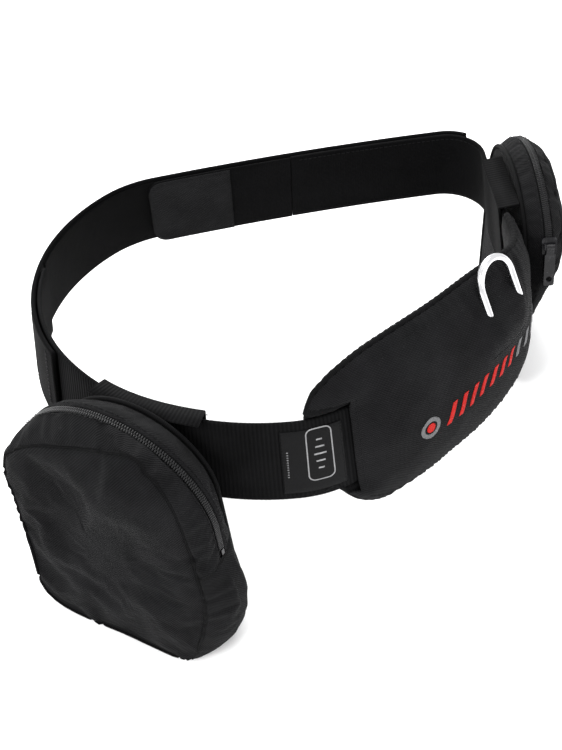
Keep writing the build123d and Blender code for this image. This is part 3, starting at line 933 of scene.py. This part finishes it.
def make_keeper():
    """Tape folded round the ring's bar, inside the pad's fold, and the stitches below that fold."""
    ahead, up, out = belt_axes(RING_PLACE[0])
    origin = belt_point(*RING_PLACE)
    loop = [(2.9 * sin(a), 2.9 * cos(a)) for a in np.linspace(0.5, pi + 0.5, 14)]
    face = float(pad_face(RING_PLACE[0], 10) - ring_fold(RING_PLACE[0], 10)) - RING_PLACE[1]
    tail = [(-4.0, face + 0.6), (-7.0, face - 1.0), (-10.0, face - 1.6), (-14.0, face - 2.0)]
    path = np.array([(c, s) for s, c in loop] + tail)
    beside = left_of(unit(np.gradient(path, axis=0)))
    section = [(-8.3, -0.45), (-8.6, 0.0), (-8.3, 0.45), (-4, 0.5), (0, 0.5), (4, 0.5)]
    section += [(-x, -h) for x, h in section]
    rings = []
    for point, side in zip(path, beside):
        ring = []
        for x, h in section:
            y, z = point + side * h
            ring.append(origin + ahead * x + up * y + out * z)
        rings.append(ring)
    piece = swept("keeper_piece", np.array(rings))
    finish_piece(piece, BINDING, "belt", ["ring_keeper"])
    across = 5.0 + 0 * np.linspace(0, 1, 30)
    along = np.linspace(259, 289, 30)
    path = on_pad(along, across, 0.1)
    stitches("keeper_stitches", path, np.repeat(out[None, :], 30, 0), THREAD, "belt", 2.0, 1.7, 0.26)


# ---------------------------------------------------------------- pouches

ARCH_RADIUS = 56.0
ARCH_HEIGHT = -10.0
LEG = 20.0
CORNER_RADIUS = 18.0
BACK_SEAM = 6.4
ZIP_HALF = 3.4
FRONT_INSET = 7.0
FLOOR_GAP = 0.4
FLANK = 4.5
SLEEVE_DIP = 1.5
MOST_SETTLED = 4.5
SETTLE_FRAMES = 14
REAR_STEPS, GAP_STEPS, FRONT_STEPS, PANEL_STEPS, INNER_STEPS = 9, 4, 13, 27, 6
SEAM_COLUMN = REAR_STEPS + GAP_STEPS + FRONT_STEPS - 1
CLOTH_SETTINGS = {
    "quality": 6,
    "mass": 0.35,
    "tension_stiffness": 18,
    "compression_stiffness": 18,
    "shear_stiffness": 6,
    "bending_stiffness": 0.12,
    "tension_damping": 8,
    "compression_damping": 8,
    "air_damping": 3,
    "shrink_min": -0.035,
    "shrink_max": -0.035,
    "vertex_group_mass": "held",
    "pin_stiffness": 1.0,
    "use_pressure": True,
    "uniform_pressure_force": 1.2,
}

# The front pouch's front seam: distance along the outline, then right, up and outward
SAGGED_SEAM = [
    (0, 51.0, -30.0, 42.5),
    (20, 50.5, -8.0, 42.0),
    (38, 49.0, 10.0, 41.5),
    (54, 46.0, 24.0, 41.5),
    (66, 41.0, 34.0, 41.0),
    (74, 36.5, 38.5, 40.5),
    (81, 33.5, 43.5, 40.0),
    (89, 26.5, 45.0, 40.0),
    (101, 15.0, 42.0, 40.0),
    (113, 2.0, 38.5, 40.0),
    (127, -12.0, 34.0, 40.0),
    (142, -27.0, 28.5, 40.0),
    (157, -39.5, 22.5, 41.0),
    (172, -50.0, 14.5, 42.5),
    (186, -53.5, 3.0, 44.5),
    (204, -52.5, -16.0, 46.5),
    (232, -53.5, -44.0, 48.0),
    (262, -55.0, -76.0, 50.0),
    (281, -53.0, -91.5, 50.5),
    (297, -39.0, -98.5, 51.5),
    (333, -2.0, -99.5, 52.0),
    (362, 29.0, -100.5, 51.5),
    (382, 43.5, -96.5, 50.5),
    (398, 46.5, -83.0, 48.0),
    (426, 49.0, -58.0, 45.0),
]


def through(keys, period, at):
    """A smooth closed curve through keys, each a distance and its values."""
    keys = np.array(keys, float)
    s = np.concatenate([keys[-2:, 0] - period, keys[:, 0], keys[:3, 0] + period])
    values = np.concatenate([keys[-2:, 1:], keys[:, 1:], keys[:3, 1:]])
    slope = (np.roll(values, -1, 0) - np.roll(values, 1, 0)) / (np.roll(s, -1) - np.roll(s, 1))[:, None]
    i = np.clip(np.searchsorted(s, at, side="right") - 1, 1, len(s) - 3)
    h = (s[i + 1] - s[i])[:, None]
    return hermite(((at - s[i]) / h[:, 0])[:, None], h, values, slope, i)


def quads_round(count, size, columns, missing=lambda i, k: False):
    """Quads of a grid of points that closes on itself after count rows of size points."""
    faces = []
    for i in range(count):
        a, b = i * size, (i + 1) % count * size
        faces += [(a + k, b + k, b + k + 1, a + k + 1) for k in columns if not missing(i, k)]
    return faces


def bump_at(u, v, at, size, height):
    return height * np.exp(-(((u - at[0]) / size[0]) ** 2 + ((v - at[1]) / size[1]) ** 2))


def bump_along(u, v, points, width, height):
    """A ridge along a line of points that fades at both ends."""
    points = np.array(points, float)
    run = np.linalg.norm(np.diff(points, axis=0), axis=1)
    total, first = run.sum(), 0.0
    nearest = np.full(u.shape, 1e9)
    share = np.zeros(u.shape)
    for a, b, length in zip(points, points[1:], run):
        t = np.clip(((u - a[0]) * (b - a)[0] + (v - a[1]) * (b - a)[1]) / length**2, 0, 1)
        away = np.hypot(u - a[0] - t * (b - a)[0], v - a[1] - t * (b - a)[1])
        share = np.where(away < nearest, (first + t * length) / total, share)
        nearest = np.minimum(nearest, away)
        first += length
    fade = smooth_step(share, -0.02, 0.2) * (1 - smooth_step(share, 0.6, 1.0))
    return height * np.exp(-(nearest / width) ** 2) * fade


def slumped_front(u, v):
    """Height of the front pouch's face: pushed in at the top left, with a ridge beside, and full below."""
    height = 48.5 - 2.0 * smooth_step(-u, 5, 50) + 5.0 * smooth_step(-v, 20, 88)
    height += bump_at(u, v, (-13, 4), (18, 18), -8.5)
    height += bump_at(u, v, (-28, -26), (15, 12), -3.0)
    height += bump_along(u, v, [(24, 47), (17, 26), (4, 2), (-10, -18), (-22, -28)], 5.5, 4.6)
    height += bump_along(u, v, [(38, 36), (31, 18), (30, -6), (36, -36)], 8.0, 1.8)
    height += bump_at(u, v, (18, -8), (9, 16), -1.8)
    height += bump_along(u, v, [(16, -46), (32, -70), (41, -92)], 7.0, 2.0)
    height += bump_along(u, v, [(-46, -6), (-38, -30), (-43, -62)], 5.0, 1.6)
    height += bump_along(u, v, [(-34, -56), (-8, -64), (12, -84)], 6.0, -1.6)
    return height


def plump_front(u, v):
    """Height of the rear pouch's face, evenly full."""
    height = 28.5 + 1.5 * smooth_step(-v, 10, 90)
    height += bump_along(u, v, [(-30, 36), (-18, 12), (-22, -12)], 7.0, -1.8)
    height += bump_along(u, v, [(36, 20), (18, 2), (6, -26)], 8.0, -1.5)
    height += bump_along(u, v, [(-38, -52), (-6, -64), (28, -60)], 8.0, 1.2)
    return height


class Pouch:
    """A pouch: sleeve is a place and half length, depths the zip, front seam and how far the back is inset."""

    def __init__(self, name, place, roll, sleeve, depths, zip_stop, seam, front, pinch, bag, seed):
        self.name, self.sleeve, self.seam_keys, self.front, self.seed = name, sleeve, seam, front, seed
        self.zip, self.front_seam, self.back_inset = depths
        self.pinch, self.flank, self.bag = pinch, FLANK if pinch == 0 else 0.0, bag
        slope = radians(roll)
        reach, drop = ARCH_RADIUS - CORNER_RADIUS, BELT_HEIGHT - CORNER_RADIUS
        left_side = ARCH_HEIGHT - LEG + (drop - reach * sin(slope)) / cos(slope)
        right_side = ARCH_HEIGHT - LEG + (drop + reach * sin(slope)) / cos(slope)
        self.outline = Chain((ARCH_RADIUS, ARCH_HEIGHT - LEG), 90.0, [
            (None, LEG),
            (ARCH_RADIUS, 180.0),
            (None, LEG + left_side),
            (CORNER_RADIUS, 90.0 - roll),
            (None, 2 * reach / cos(slope)),
            (CORNER_RADIUS, 90.0 + roll),
            (None, right_side),
        ])
        lift, leg = zip_stop
        self.zip_end = LEG + ARCH_RADIUS * radians(180 - lift) + leg
        self.full = self.outline.length
        heading = float(BELT.at(place)[1])
        right = np.array([cos(heading), sin(heading), 0.0])
        up = np.array([0.0, 0.0, 1.0])
        self.axes = np.array([
            right * cos(slope) + up * sin(slope),
            up * cos(slope) - right * sin(slope),
            [sin(heading), -cos(heading), 0.0],
        ])
        self.origin = belt_point(place, 0, 0)

    def place(self, points):
        return self.origin + np.asarray(points, float) @ self.axes

    def at(self, s, offset, w):
        """Points in the pouch's own right, up and outward, at a distance along its outline."""
        s, offset, w = np.broadcast_arrays(*(np.asarray(x, float) for x in (s, offset, w)))
        flat, headings = self.outline.at(s)
        flat = flat - leftward(headings) * offset[..., None]
        return np.concatenate([flat, w[..., None]], -1)

    def outward(self, s):
        side = -leftward(self.outline.at(s)[1])
        return np.concatenate([side, np.zeros(side.shape[:-1] + (1,))], -1)

    def seam(self, s):
        if self.seam_keys is None:
            return self.at(s, -FRONT_INSET, self.front_seam)
        return through(self.seam_keys, self.full, s)

    def shell_points(self):
        """Grid of points: round the outline, and from the back seam over the gusset to the panel's middle."""
        s = np.linspace(0, self.full, 209)[:-1]
        self.stations = s
        out = self.outward(s)
        into = np.array([0.0, 0.0, 1.0])
        low = smooth_step(s, self.zip_end - 2, self.zip_end + 16)
        low = low * (1 - smooth_step(s, self.full - 16, self.full + 2))
        side = np.abs(out[:, 0]) ** 1.5
        full_side = 3.4 * low * side
        back, near = self.at(s, -self.back_inset, BACK_SEAM), self.at(s, 0.15, self.zip - ZIP_HALF + 1.0)
        far, seam = self.at(s, 0.15, self.zip + ZIP_HALF - 1.0), self.seam(s)
        reach = np.linalg.norm(seam - far, axis=1)
        rows = []

        def bulged(point, share):
            swell = np.sin(pi * np.clip((point[:, 2] - 6) / (self.front_seam - 4), 0, 1)) ** 0.8 * full_side
            full, narrow = np.exp(-((point[:, 1] + 58) / 18) ** 2), smooth_step(-point[:, 1], 74, 96)
            flank = smooth_step(point[:, 0], 20, 50) * self.flank * (0.6 * full - 0.8 * narrow)
            moved = point + out * (swell + share)[:, None]
            moved[:, 0] += flank * np.clip((point[:, 2] - 6) / 6, 0, 1)
            return moved

        puckers = 0.5 * np.sin(s * 2 * pi / 11.0 + 2 * np.sin(s / 23.0)) + 0.4 * np.sin(s * 2 * pi / 6.1)
        for t in np.linspace(0, 1, REAR_STEPS):
            hang = 1.3 * sin(pi * t) ** 0.8 + 0.5 * sin(pi * t) * puckers * (1 - t)
            rows.append(bulged(back + (near - back) * t, hang))
        for t in np.linspace(0, 1, GAP_STEPS + 2)[1:-1]:
            rows.append(bulged(near + (far - near) * t, 0 * s))
        loose = 1 + 0.7 * (1 - low)
        for t in np.linspace(0, 1, FRONT_STEPS):
            base = far + (seam - far) * t
            hang = 1.9 * loose * sin(pi * t**1.25) ** 0.8 + 0.8 * puckers * t**2 * (1 - t) * 3
            point = bulged(base, hang * np.clip(reach / 17, 0.5, 1.3))
            rows.append(point + into * (2.0 * loose * t**3 * (1 - t) * 4)[:, None])
        middle = np.stack([0 * s + 2.0, 0 * s - 34.0, 0 * s + self.front_seam], -1)
        for t in np.linspace(0, 0.975, PANEL_STEPS)[1:]:
            flat = seam + (middle - seam) * t
            rise = (1 - (1 - t) ** 3.2) ** 0.62
            flat[:, 2] = seam[:, 2] + (self.front(flat[:, 0], flat[:, 1]) - seam[:, 2]) * rise
            rows.append(flat)
        grid = np.stack(rows, 1)
        slack = ripple(grid, 26, self.seed)
        firm = np.ones(grid.shape[1])
        firm[:REAR_STEPS] = np.linspace(0, 0.35, REAR_STEPS)
        firm[REAR_STEPS - 1:REAR_STEPS + GAP_STEPS + 1] = 0
        firm[REAR_STEPS + GAP_STEPS:SEAM_COLUMN + 1] = np.linspace(0, 0.6, FRONT_STEPS)
        grid = grid + (slack * firm[None, :] * 0.9)[..., None] * np.array([0.3, 0.3, 1.0])
        return self.pinched(grid)

    def pinched(self, points):
        """Draws in the pouch's lower left corner, where it is slack, and lets its top droop."""
        u, v, w = points[..., 0], points[..., 1], points[..., 2]
        share = self.pinch * smooth_step(-u, -34, 56) * smooth_step(-v, -6, 58)
        deep = np.clip((w - BACK_SEAM) / (self.front_seam - BACK_SEAM), 0, 1.3)
        droop = 8 * self.pinch * smooth_step(v, 14, 48)
        return np.stack([u + 16 * share * deep, v - droop, w - (w - BACK_SEAM) * share * 0.7], -1)

    def shell_faces(self, columns, size):
        """Quads between some columns of a grid with size columns, without those across the zip."""
        gap = range(REAR_STEPS - 1, REAR_STEPS + GAP_STEPS)
        over_zip = self.stations < self.zip_end
        return quads_round(len(self.stations), size, columns, lambda i, k: over_zip[i] and k in gap)

    def simulate(self, grid):
        """Lets the pouch's cloth settle: a little longer than its outline, pushed out by what it holds."""
        count, size = len(self.stations), grid.shape[1] - INNER_STEPS
        mesh = bpy.data.meshes.new("settling")
        points = self.place(grid[:, :size]).reshape(-1, 3) * MM
        mesh.from_pydata(points.tolist(), [], self.shell_faces(range(size - 1), size))
        piece = linked("settling", mesh)
        held = piece.vertex_groups.new(name="held")
        zip_columns = range(REAR_STEPS - 1, REAR_STEPS + GAP_STEPS + 1)
        every = np.arange(count) * size
        for columns, weight in (([0], 1.0), (zip_columns, 1.0), ([SEAM_COLUMN], 0.55), ([size - 1], 0.2)):
            for k in columns:
                held.add((every + k).tolist(), weight, "REPLACE")
        settle = piece.modifiers.new("settle", "CLOTH")
        for key, value in CLOTH_SETTINGS.items():
            setattr(settle.settings, key, value)
        settle.settings.effector_weights.gravity = 0.0
        settle.collision_settings.use_collision = False
        scene = bpy.context.scene
        for number in range(1, SETTLE_FRAMES + 1):
            scene.frame_set(number)
        settled = piece.evaluated_get(bpy.context.evaluated_depsgraph_get()).to_mesh()
        points = np.zeros(len(settled.vertices) * 3)
        settled.vertices.foreach_get("co", points)
        scene.frame_set(1)
        bpy.data.objects.remove(piece)
        moved = (points.reshape(-1, 3) / MM - self.origin) @ self.axes.T
        moved = moved.reshape(count, size, 3) - grid[:, :size]
        edge = moved[:, -1:]
        share = np.linspace(0, 1, INNER_STEPS + 1)[1:][None, :, None] ** 0.7
        moved = np.concatenate([moved, edge + (edge.mean(0, keepdims=True) - edge) * share], 1)
        far = np.linalg.norm(moved, axis=-1, keepdims=True)
        print("SETTLE", self.name, "mean", far.mean(), "max", far.max())
        return grid + moved * np.minimum(1, MOST_SETTLED / np.maximum(far, 1e-6))

    def make(self):
        grid = self.shell_points()
        grid = self.simulate(grid)
        world = self.place(grid)
        z = world[..., 2]
        world[..., 2] = np.where(z < 2, FLOOR_GAP + (2 - FLOOR_GAP) * np.exp(-(2 - z) / 2), z)
        self.grid = world
        count, size = grid.shape[:2]
        lengths = np.linalg.norm(np.diff(grid, axis=1), axis=2)
        run = np.concatenate([np.zeros((count, 1)), np.cumsum(lengths, 1)], 1)
        round_ = np.stack(np.broadcast_arrays(self.stations[:, None], -run), -1)
        flat = np.stack([grid[..., 0], -grid[..., 1]], -1)
        for part, columns, weave, slot in (
            ("gusset", range(SEAM_COLUMN), round_, "pouch_cloth"),
            ("panel", range(SEAM_COLUMN, size - 1), flat, "panel_cloth"),
        ):
            quads = self.shell_faces(columns, size)
            used = sorted({n for quad in quads for n in quad})
            number = {old: new for new, old in enumerate(used)}
            faces = [tuple(number[n] for n in quad) for quad in quads]
            piece = mesh_piece(f"{self.name}_{part}_piece", world.reshape(-1, 3)[used], faces,
                               weave.reshape(-1, 2)[used], tidy=False)
            if part == "panel":
                middle = Vector(world[:, -1].mean(0) * MM)

                def close(vertex):
                    return (vertex.co - middle).length < 6 * MM

                def near_middle(line):
                    return all(close(vertex) for vertex in line.verts)

                with editing(piece.data) as work:
                    hole = [e for e in work.edges if e.is_boundary and near_middle(e)]
                    bmesh.ops.holes_fill(work, edges=hole, sides=0)
                    bmesh.ops.remove_doubles(work, verts=[v for v in work.verts if close(v)], dist=0.35 * MM)
            face = piece.data.polygons[len(piece.data.polygons) // 2]
            if face.normal.dot(face.center - Vector(self.place((0, -40, self.zip)) * MM)) < 0:
                piece.data.flip_normals()
            thicken(piece, 0.9)
            finer = piece.modifiers.new("finer", "SUBSURF")
            finer.levels = finer.render_levels = 1
            nodes = ["front_panel"] if part == "panel" else ["rear_gusset", "front_gusset", "lower_gusset"]
            finish_piece(piece, POUCH, self.name, [f"{self.name}_{node}" for node in nodes])
        self.make_zip()
        self.make_back()
        self.make_seams()
        self.make_sleeve()
        self.make_bag()

    def make_zip(self):
        """Zip tapes and the two rows of coil teeth between them."""
        s = np.linspace(0.6, self.zip_end - 0.6, 150)
        profile = [(-1.15, 0.7), (-0.3, 0.9), (-0.25, 2.0), (-0.3, 3.3), (-1.15, 3.3), (-1.15, 2.0)]
        for side, part in ((-1, "rear"), (1, "front")):
            lines = [self.pinched(self.at(s, o, self.zip + side * w)) for o, w in profile]
            rings = np.stack([self.place(line) for line in lines], 1)
            uvs = pairs(s, np.array([w for _, w in profile]) * side)
            tape = swept(f"{self.name}_{part}_tape", rings, uvs=uvs)
            finish_piece(tape, TAPE, self.name, [f"{self.name}_zip_tape_{part}"])
        for side, part in ((-1, "rear"), (1, "front")):
            at = np.arange(5.4 + (0.65 if side > 0 else 0), self.zip_end - 5, 1.3)
            places = self.place(self.pinched(self.at(at, 0.18, self.zip + side * 0.85)))
            after, before = (self.place(self.at(at + step, 0, self.zip)) for step in (0.1, -0.1))
            ahead = (after - before) / 0.2
            out = self.outward(at) @ self.axes
            across = np.repeat(self.axes[2][None, :], len(at), 0)
            axes = np.stack([across, ahead, out], 1)
            teeth = scattered(f"{self.name}_{part}_teeth", *capsule(2.5, 0.52), places, axes)
            finish_piece(teeth, COIL, self.name, [f"{self.name}_zip_coil"] if side < 0 else [])

    def make_back(self):
        """Back panel, slightly quilted by its foam, and the tape that binds its edge."""
        s = np.linspace(0, self.full, 150)[:-1]
        rim = self.at(s, -self.back_inset - 0.3, 5.2)
        middle = np.stack([0 * s, 0 * s - 30.0, rim[:, 2]], -1)
        rows = []
        for t, w in [(t, 6.3) for t in np.linspace(1, 0, 14)] + [(t, 5.0) for t in np.linspace(0, 1, 14)]:
            point = rim + (middle - rim) * t
            point[:, 2] = w
            rows.append(point)
        grid = np.stack(rows, 1)
        grid[..., 2] += 0.25 * ripple(grid, 14, self.seed + 3)
        grid = self.pinched(grid)
        count, size = grid.shape[:2]
        faces = quads_round(count, size, range(size - 1))
        piece = mesh_piece(f"{self.name}_back_piece", self.place(grid), faces, grid[..., :2])
        with editing(piece.data) as work:
            bmesh.ops.remove_doubles(work, verts=work.verts, dist=0.3 * MM)
            bmesh.ops.recalc_face_normals(work, faces=work.faces)
        finish_piece(piece, POUCH, self.name, [f"{self.name}_back_panel"])
        edge = self.pinched(self.at(s, 0.6 - self.back_inset, 5.2))
        self.tube("back_binding", edge, 1.25, "back_binding")

    def tube(self, part, path, radius, node):
        """A bound cord along a closed path in the pouch's own directions."""
        ahead = round_heading(path)
        first = unit(np.cross(ahead, [0, 0, 1.0]))
        second = np.cross(ahead, first)
        turn = circle(8)
        rings = path[:, None] + radius * (np.cos(turn)[None, :, None] * first[:, None]
                                          + np.sin(turn)[None, :, None] * second[:, None])
        world = self.place(rings)
        world[..., 2] = np.maximum(world[..., 2], FLOOR_GAP)
        piece = swept(f"{self.name}_{part}_piece", world, closed=True, uvs=pairs(run_along(path), turn * radius))
        finish_piece(piece, BINDING, self.name, [f"{self.name}_{node}"])

    def make_seams(self):
        """Piping in the front seam, and topstitching beside the zip and above the lower gusset."""
        local = (self.grid - self.origin) @ self.axes.T
        self.tube("piping", local[:, SEAM_COLUMN], 0.75, "front_piping")
        over_zip = np.nonzero(self.stations < self.zip_end)[0]
        middle = self.place((0, -40, self.zip))
        for part, column in (("rear_zip", REAR_STEPS - 2), ("front_zip", REAR_STEPS + GAP_STEPS + 1)):
            path = self.grid[over_zip, column]
            across = self.grid[over_zip, column + 1] - self.grid[over_zip, column - 1]
            ahead = np.gradient(path, axis=0)
            out = np.cross(ahead, across)
            out = unit(out * np.sign(np.sum(out * (path - middle), axis=1))[:, None])
            stitches(f"{self.name}_{part}_stitches", path + out * 0.12, out, THREAD, self.name)
        for part, place in (("right", self.full - 0.8), ("left", self.zip_end + 0.8)):
            station = int(round(place / self.full * len(self.stations))) % len(self.stations)
            path = self.grid[station, range(2, SEAM_COLUMN - 1)]
            out = np.repeat((self.outward(np.array([place])) @ self.axes), len(path), 0)
            stitches(f"{self.name}_{part}_seam_stitches", path + out * 0.2, out, THREAD, self.name)

    def make_sleeve(self):
        """Channel of webbing behind the pouch, which the belt goes through."""
        (place, half), height = self.sleeve, 27.6
        s = np.linspace(place - half, place + half, 190)
        dip = (SLEEVE_DIP if self.flank else 0.0) * (1 - smooth_step(s, place - half, place + half))[:, None]

        def reach(level, across):
            return (level + across * sin(FLARE)) / cos(FLARE)

        outer = [(reach(3.7, height + 1), height + 1)] + [(-4.1, height + 1)]
        outer += [(-4.1, v) for v in np.linspace(height, -height, 24)] + [(-4.1, -height - 1)]
        outer += [(reach(3.7, -height - 1), -height - 1)]
        inner = [(reach(3.7, -height), -height), (-3.1, -height)]
        inner += [(-3.1, v) for v in np.linspace(-height + 1, height - 1, 24)]
        inner += [(-3.1, height), (reach(3.7, height), height)]
        profile = np.array(outer + inner)
        rib = np.zeros((len(s), len(profile)))
        rib[:, 2:26] = 0.22 * np.abs(np.sin(pi * s / 2.0))[:, None]
        across = profile[None, :, 1] - dip * (profile[None, :, 1] > 25)
        rings = belt_point(s[:, None], profile[None, :, 0] - rib, across)
        piece = swept(f"{self.name}_sleeve_piece", rings, uvs=pairs(s, run_along(profile)))
        finish_piece(piece, WEBBING, self.name, [f"{self.name}_sleeve"])
        for part, across in (("upper", 25.6), ("lower", -25.6)):
            path = belt_point(s, -4.35, across)
            out = path - belt_point(s, 0, across)
            stitches(f"{self.name}_sleeve_{part}_stitches", path, out, THREAD, self.name)

    def make_bag(self):
        """Bag of lead shot inside the pouch."""
        length, height, depth = self.bag
        centre = np.array([0, -BELT_HEIGHT + 7.2 + height / 2, (5 + self.front_seam + 0.3) / 2])
        turn = circle(64)
        rows = []
        for a in np.linspace(-pi / 2, pi / 2, 31)[1:-1]:
            ring = []
            for b in turn:
                x = np.sign(cos(b)) * abs(cos(b)) ** 0.45 * cos(a) ** 0.5
                y = np.sign(sin(b)) * abs(sin(b)) ** 0.45 * cos(a) ** 0.5
                ring.append((x * length / 2, y * height / 2, sin(a) * depth / 2))
            rows.append(ring)
        rings = np.array(rows)
        length_out = np.linalg.norm(rings, axis=2)[..., None]
        rings += 0.5 * ripple(rings, 3.0, self.seed + 5, 1)[..., None] * rings / length_out
        piece = swept(f"{self.name}_bag_piece", self.place(self.pinched(rings * 0.97 + centre)))
        finish_piece(piece, SHOT, self.name, [f"{self.name}_shot_bag"])


# ---------------------------------------------------------------- making it


def make_stage():
    """Pale floor, soft lights and the camera at the photograph's angle."""
    n = Nodes("floor")
    tone = n.mix(n.noise(0.25, 3.0), (0.90, 0.90, 0.905), (0.94, 0.94, 0.94))
    floor_look = n.surface(Base_Color=tone, Roughness=0.9)
    mesh = bpy.data.meshes.new("floor")
    mesh.from_pydata([(-30, -30, 0), (30, -30, 0), (30, 30, 0), (-30, 30, 0)], [], [(0, 1, 2, 3)])
    floor = linked("floor", mesh)
    mesh.materials.append(floor_look)

    world = bpy.data.worlds.new("studio")
    world.use_nodes = True
    sky = world.node_tree.nodes["Background"].inputs
    sky["Color"].default_value = (1, 1, 1, 1)
    sky["Strength"].default_value = 1.0
    bpy.context.scene.world = world
    bpy.context.scene.view_settings.view_transform = "Standard"
    for name, place, size, power in (
        ("key", (-0.9, -0.9, 1.3), 0.8, 24),
        ("fill", (1.1, -0.8, 1.0), 1.0, 9),
        ("top", (0.1, 0.5, 1.6), 1.2, 12),
        ("back", (-0.3, 1.4, 0.8), 1.0, 26),
    ):
        light = bpy.data.lights.new(name, "AREA")
        light.size, light.energy = size, power
        lamp = linked(name, light)
        lamp.location = place
        lamp.rotation_euler = (Vector((0, 0, 0.07)) - Vector(place)).to_track_quat("-Z", "Y").to_euler()

    pitch, roll = radians(45.433), radians(-4.935)
    ahead = Vector((0, cos(pitch), -sin(pitch)))
    up = Vector((0, sin(pitch), cos(pitch)))
    right = Vector((1, 0, 0))
    x = right * cos(roll) + up * sin(roll)
    y = up * cos(roll) - right * sin(roll)
    camera = linked("camera", bpy.data.cameras.new("camera"))
    camera.data.lens = 51.81
    camera.data.sensor_width = 36.0
    axes = Matrix((x, y, -ahead)).transposed().to_4x4()
    camera.matrix_world = Matrix.Translation((-0.016915, -0.438155, 0.507997)) @ axes
    bpy.context.scene.camera = camera


make_stage()
make_belt()
make_tab()
make_label()
make_pad()
make_ring()
make_keeper()
Pouch("front_pouch", place=62.4, roll=3.5, sleeve=(66.0, 31.0), depths=(26.0, 44.2, 12.0),
      zip_stop=(0.0, LEG), seam=SAGGED_SEAM, front=slumped_front, pinch=0.0, bag=(78.0, 56.0, 26.0),
      seed=31).make()
Pouch("rear_pouch", place=392.0, roll=0.0, sleeve=(385.0, 24.0), depths=(17.5, 25.5, 6.0),
      zip_stop=(25.0, 11.5), seam=None, front=plump_front, pinch=0.85, bag=(78.0, 56.0, 16.0),
      seed=47).make()
for name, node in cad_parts.items():
    if name.endswith(("slider", "pull_tab", "zip_stops")):
        for slot in node.material_slots:
            slot.material = BLACK_METAL
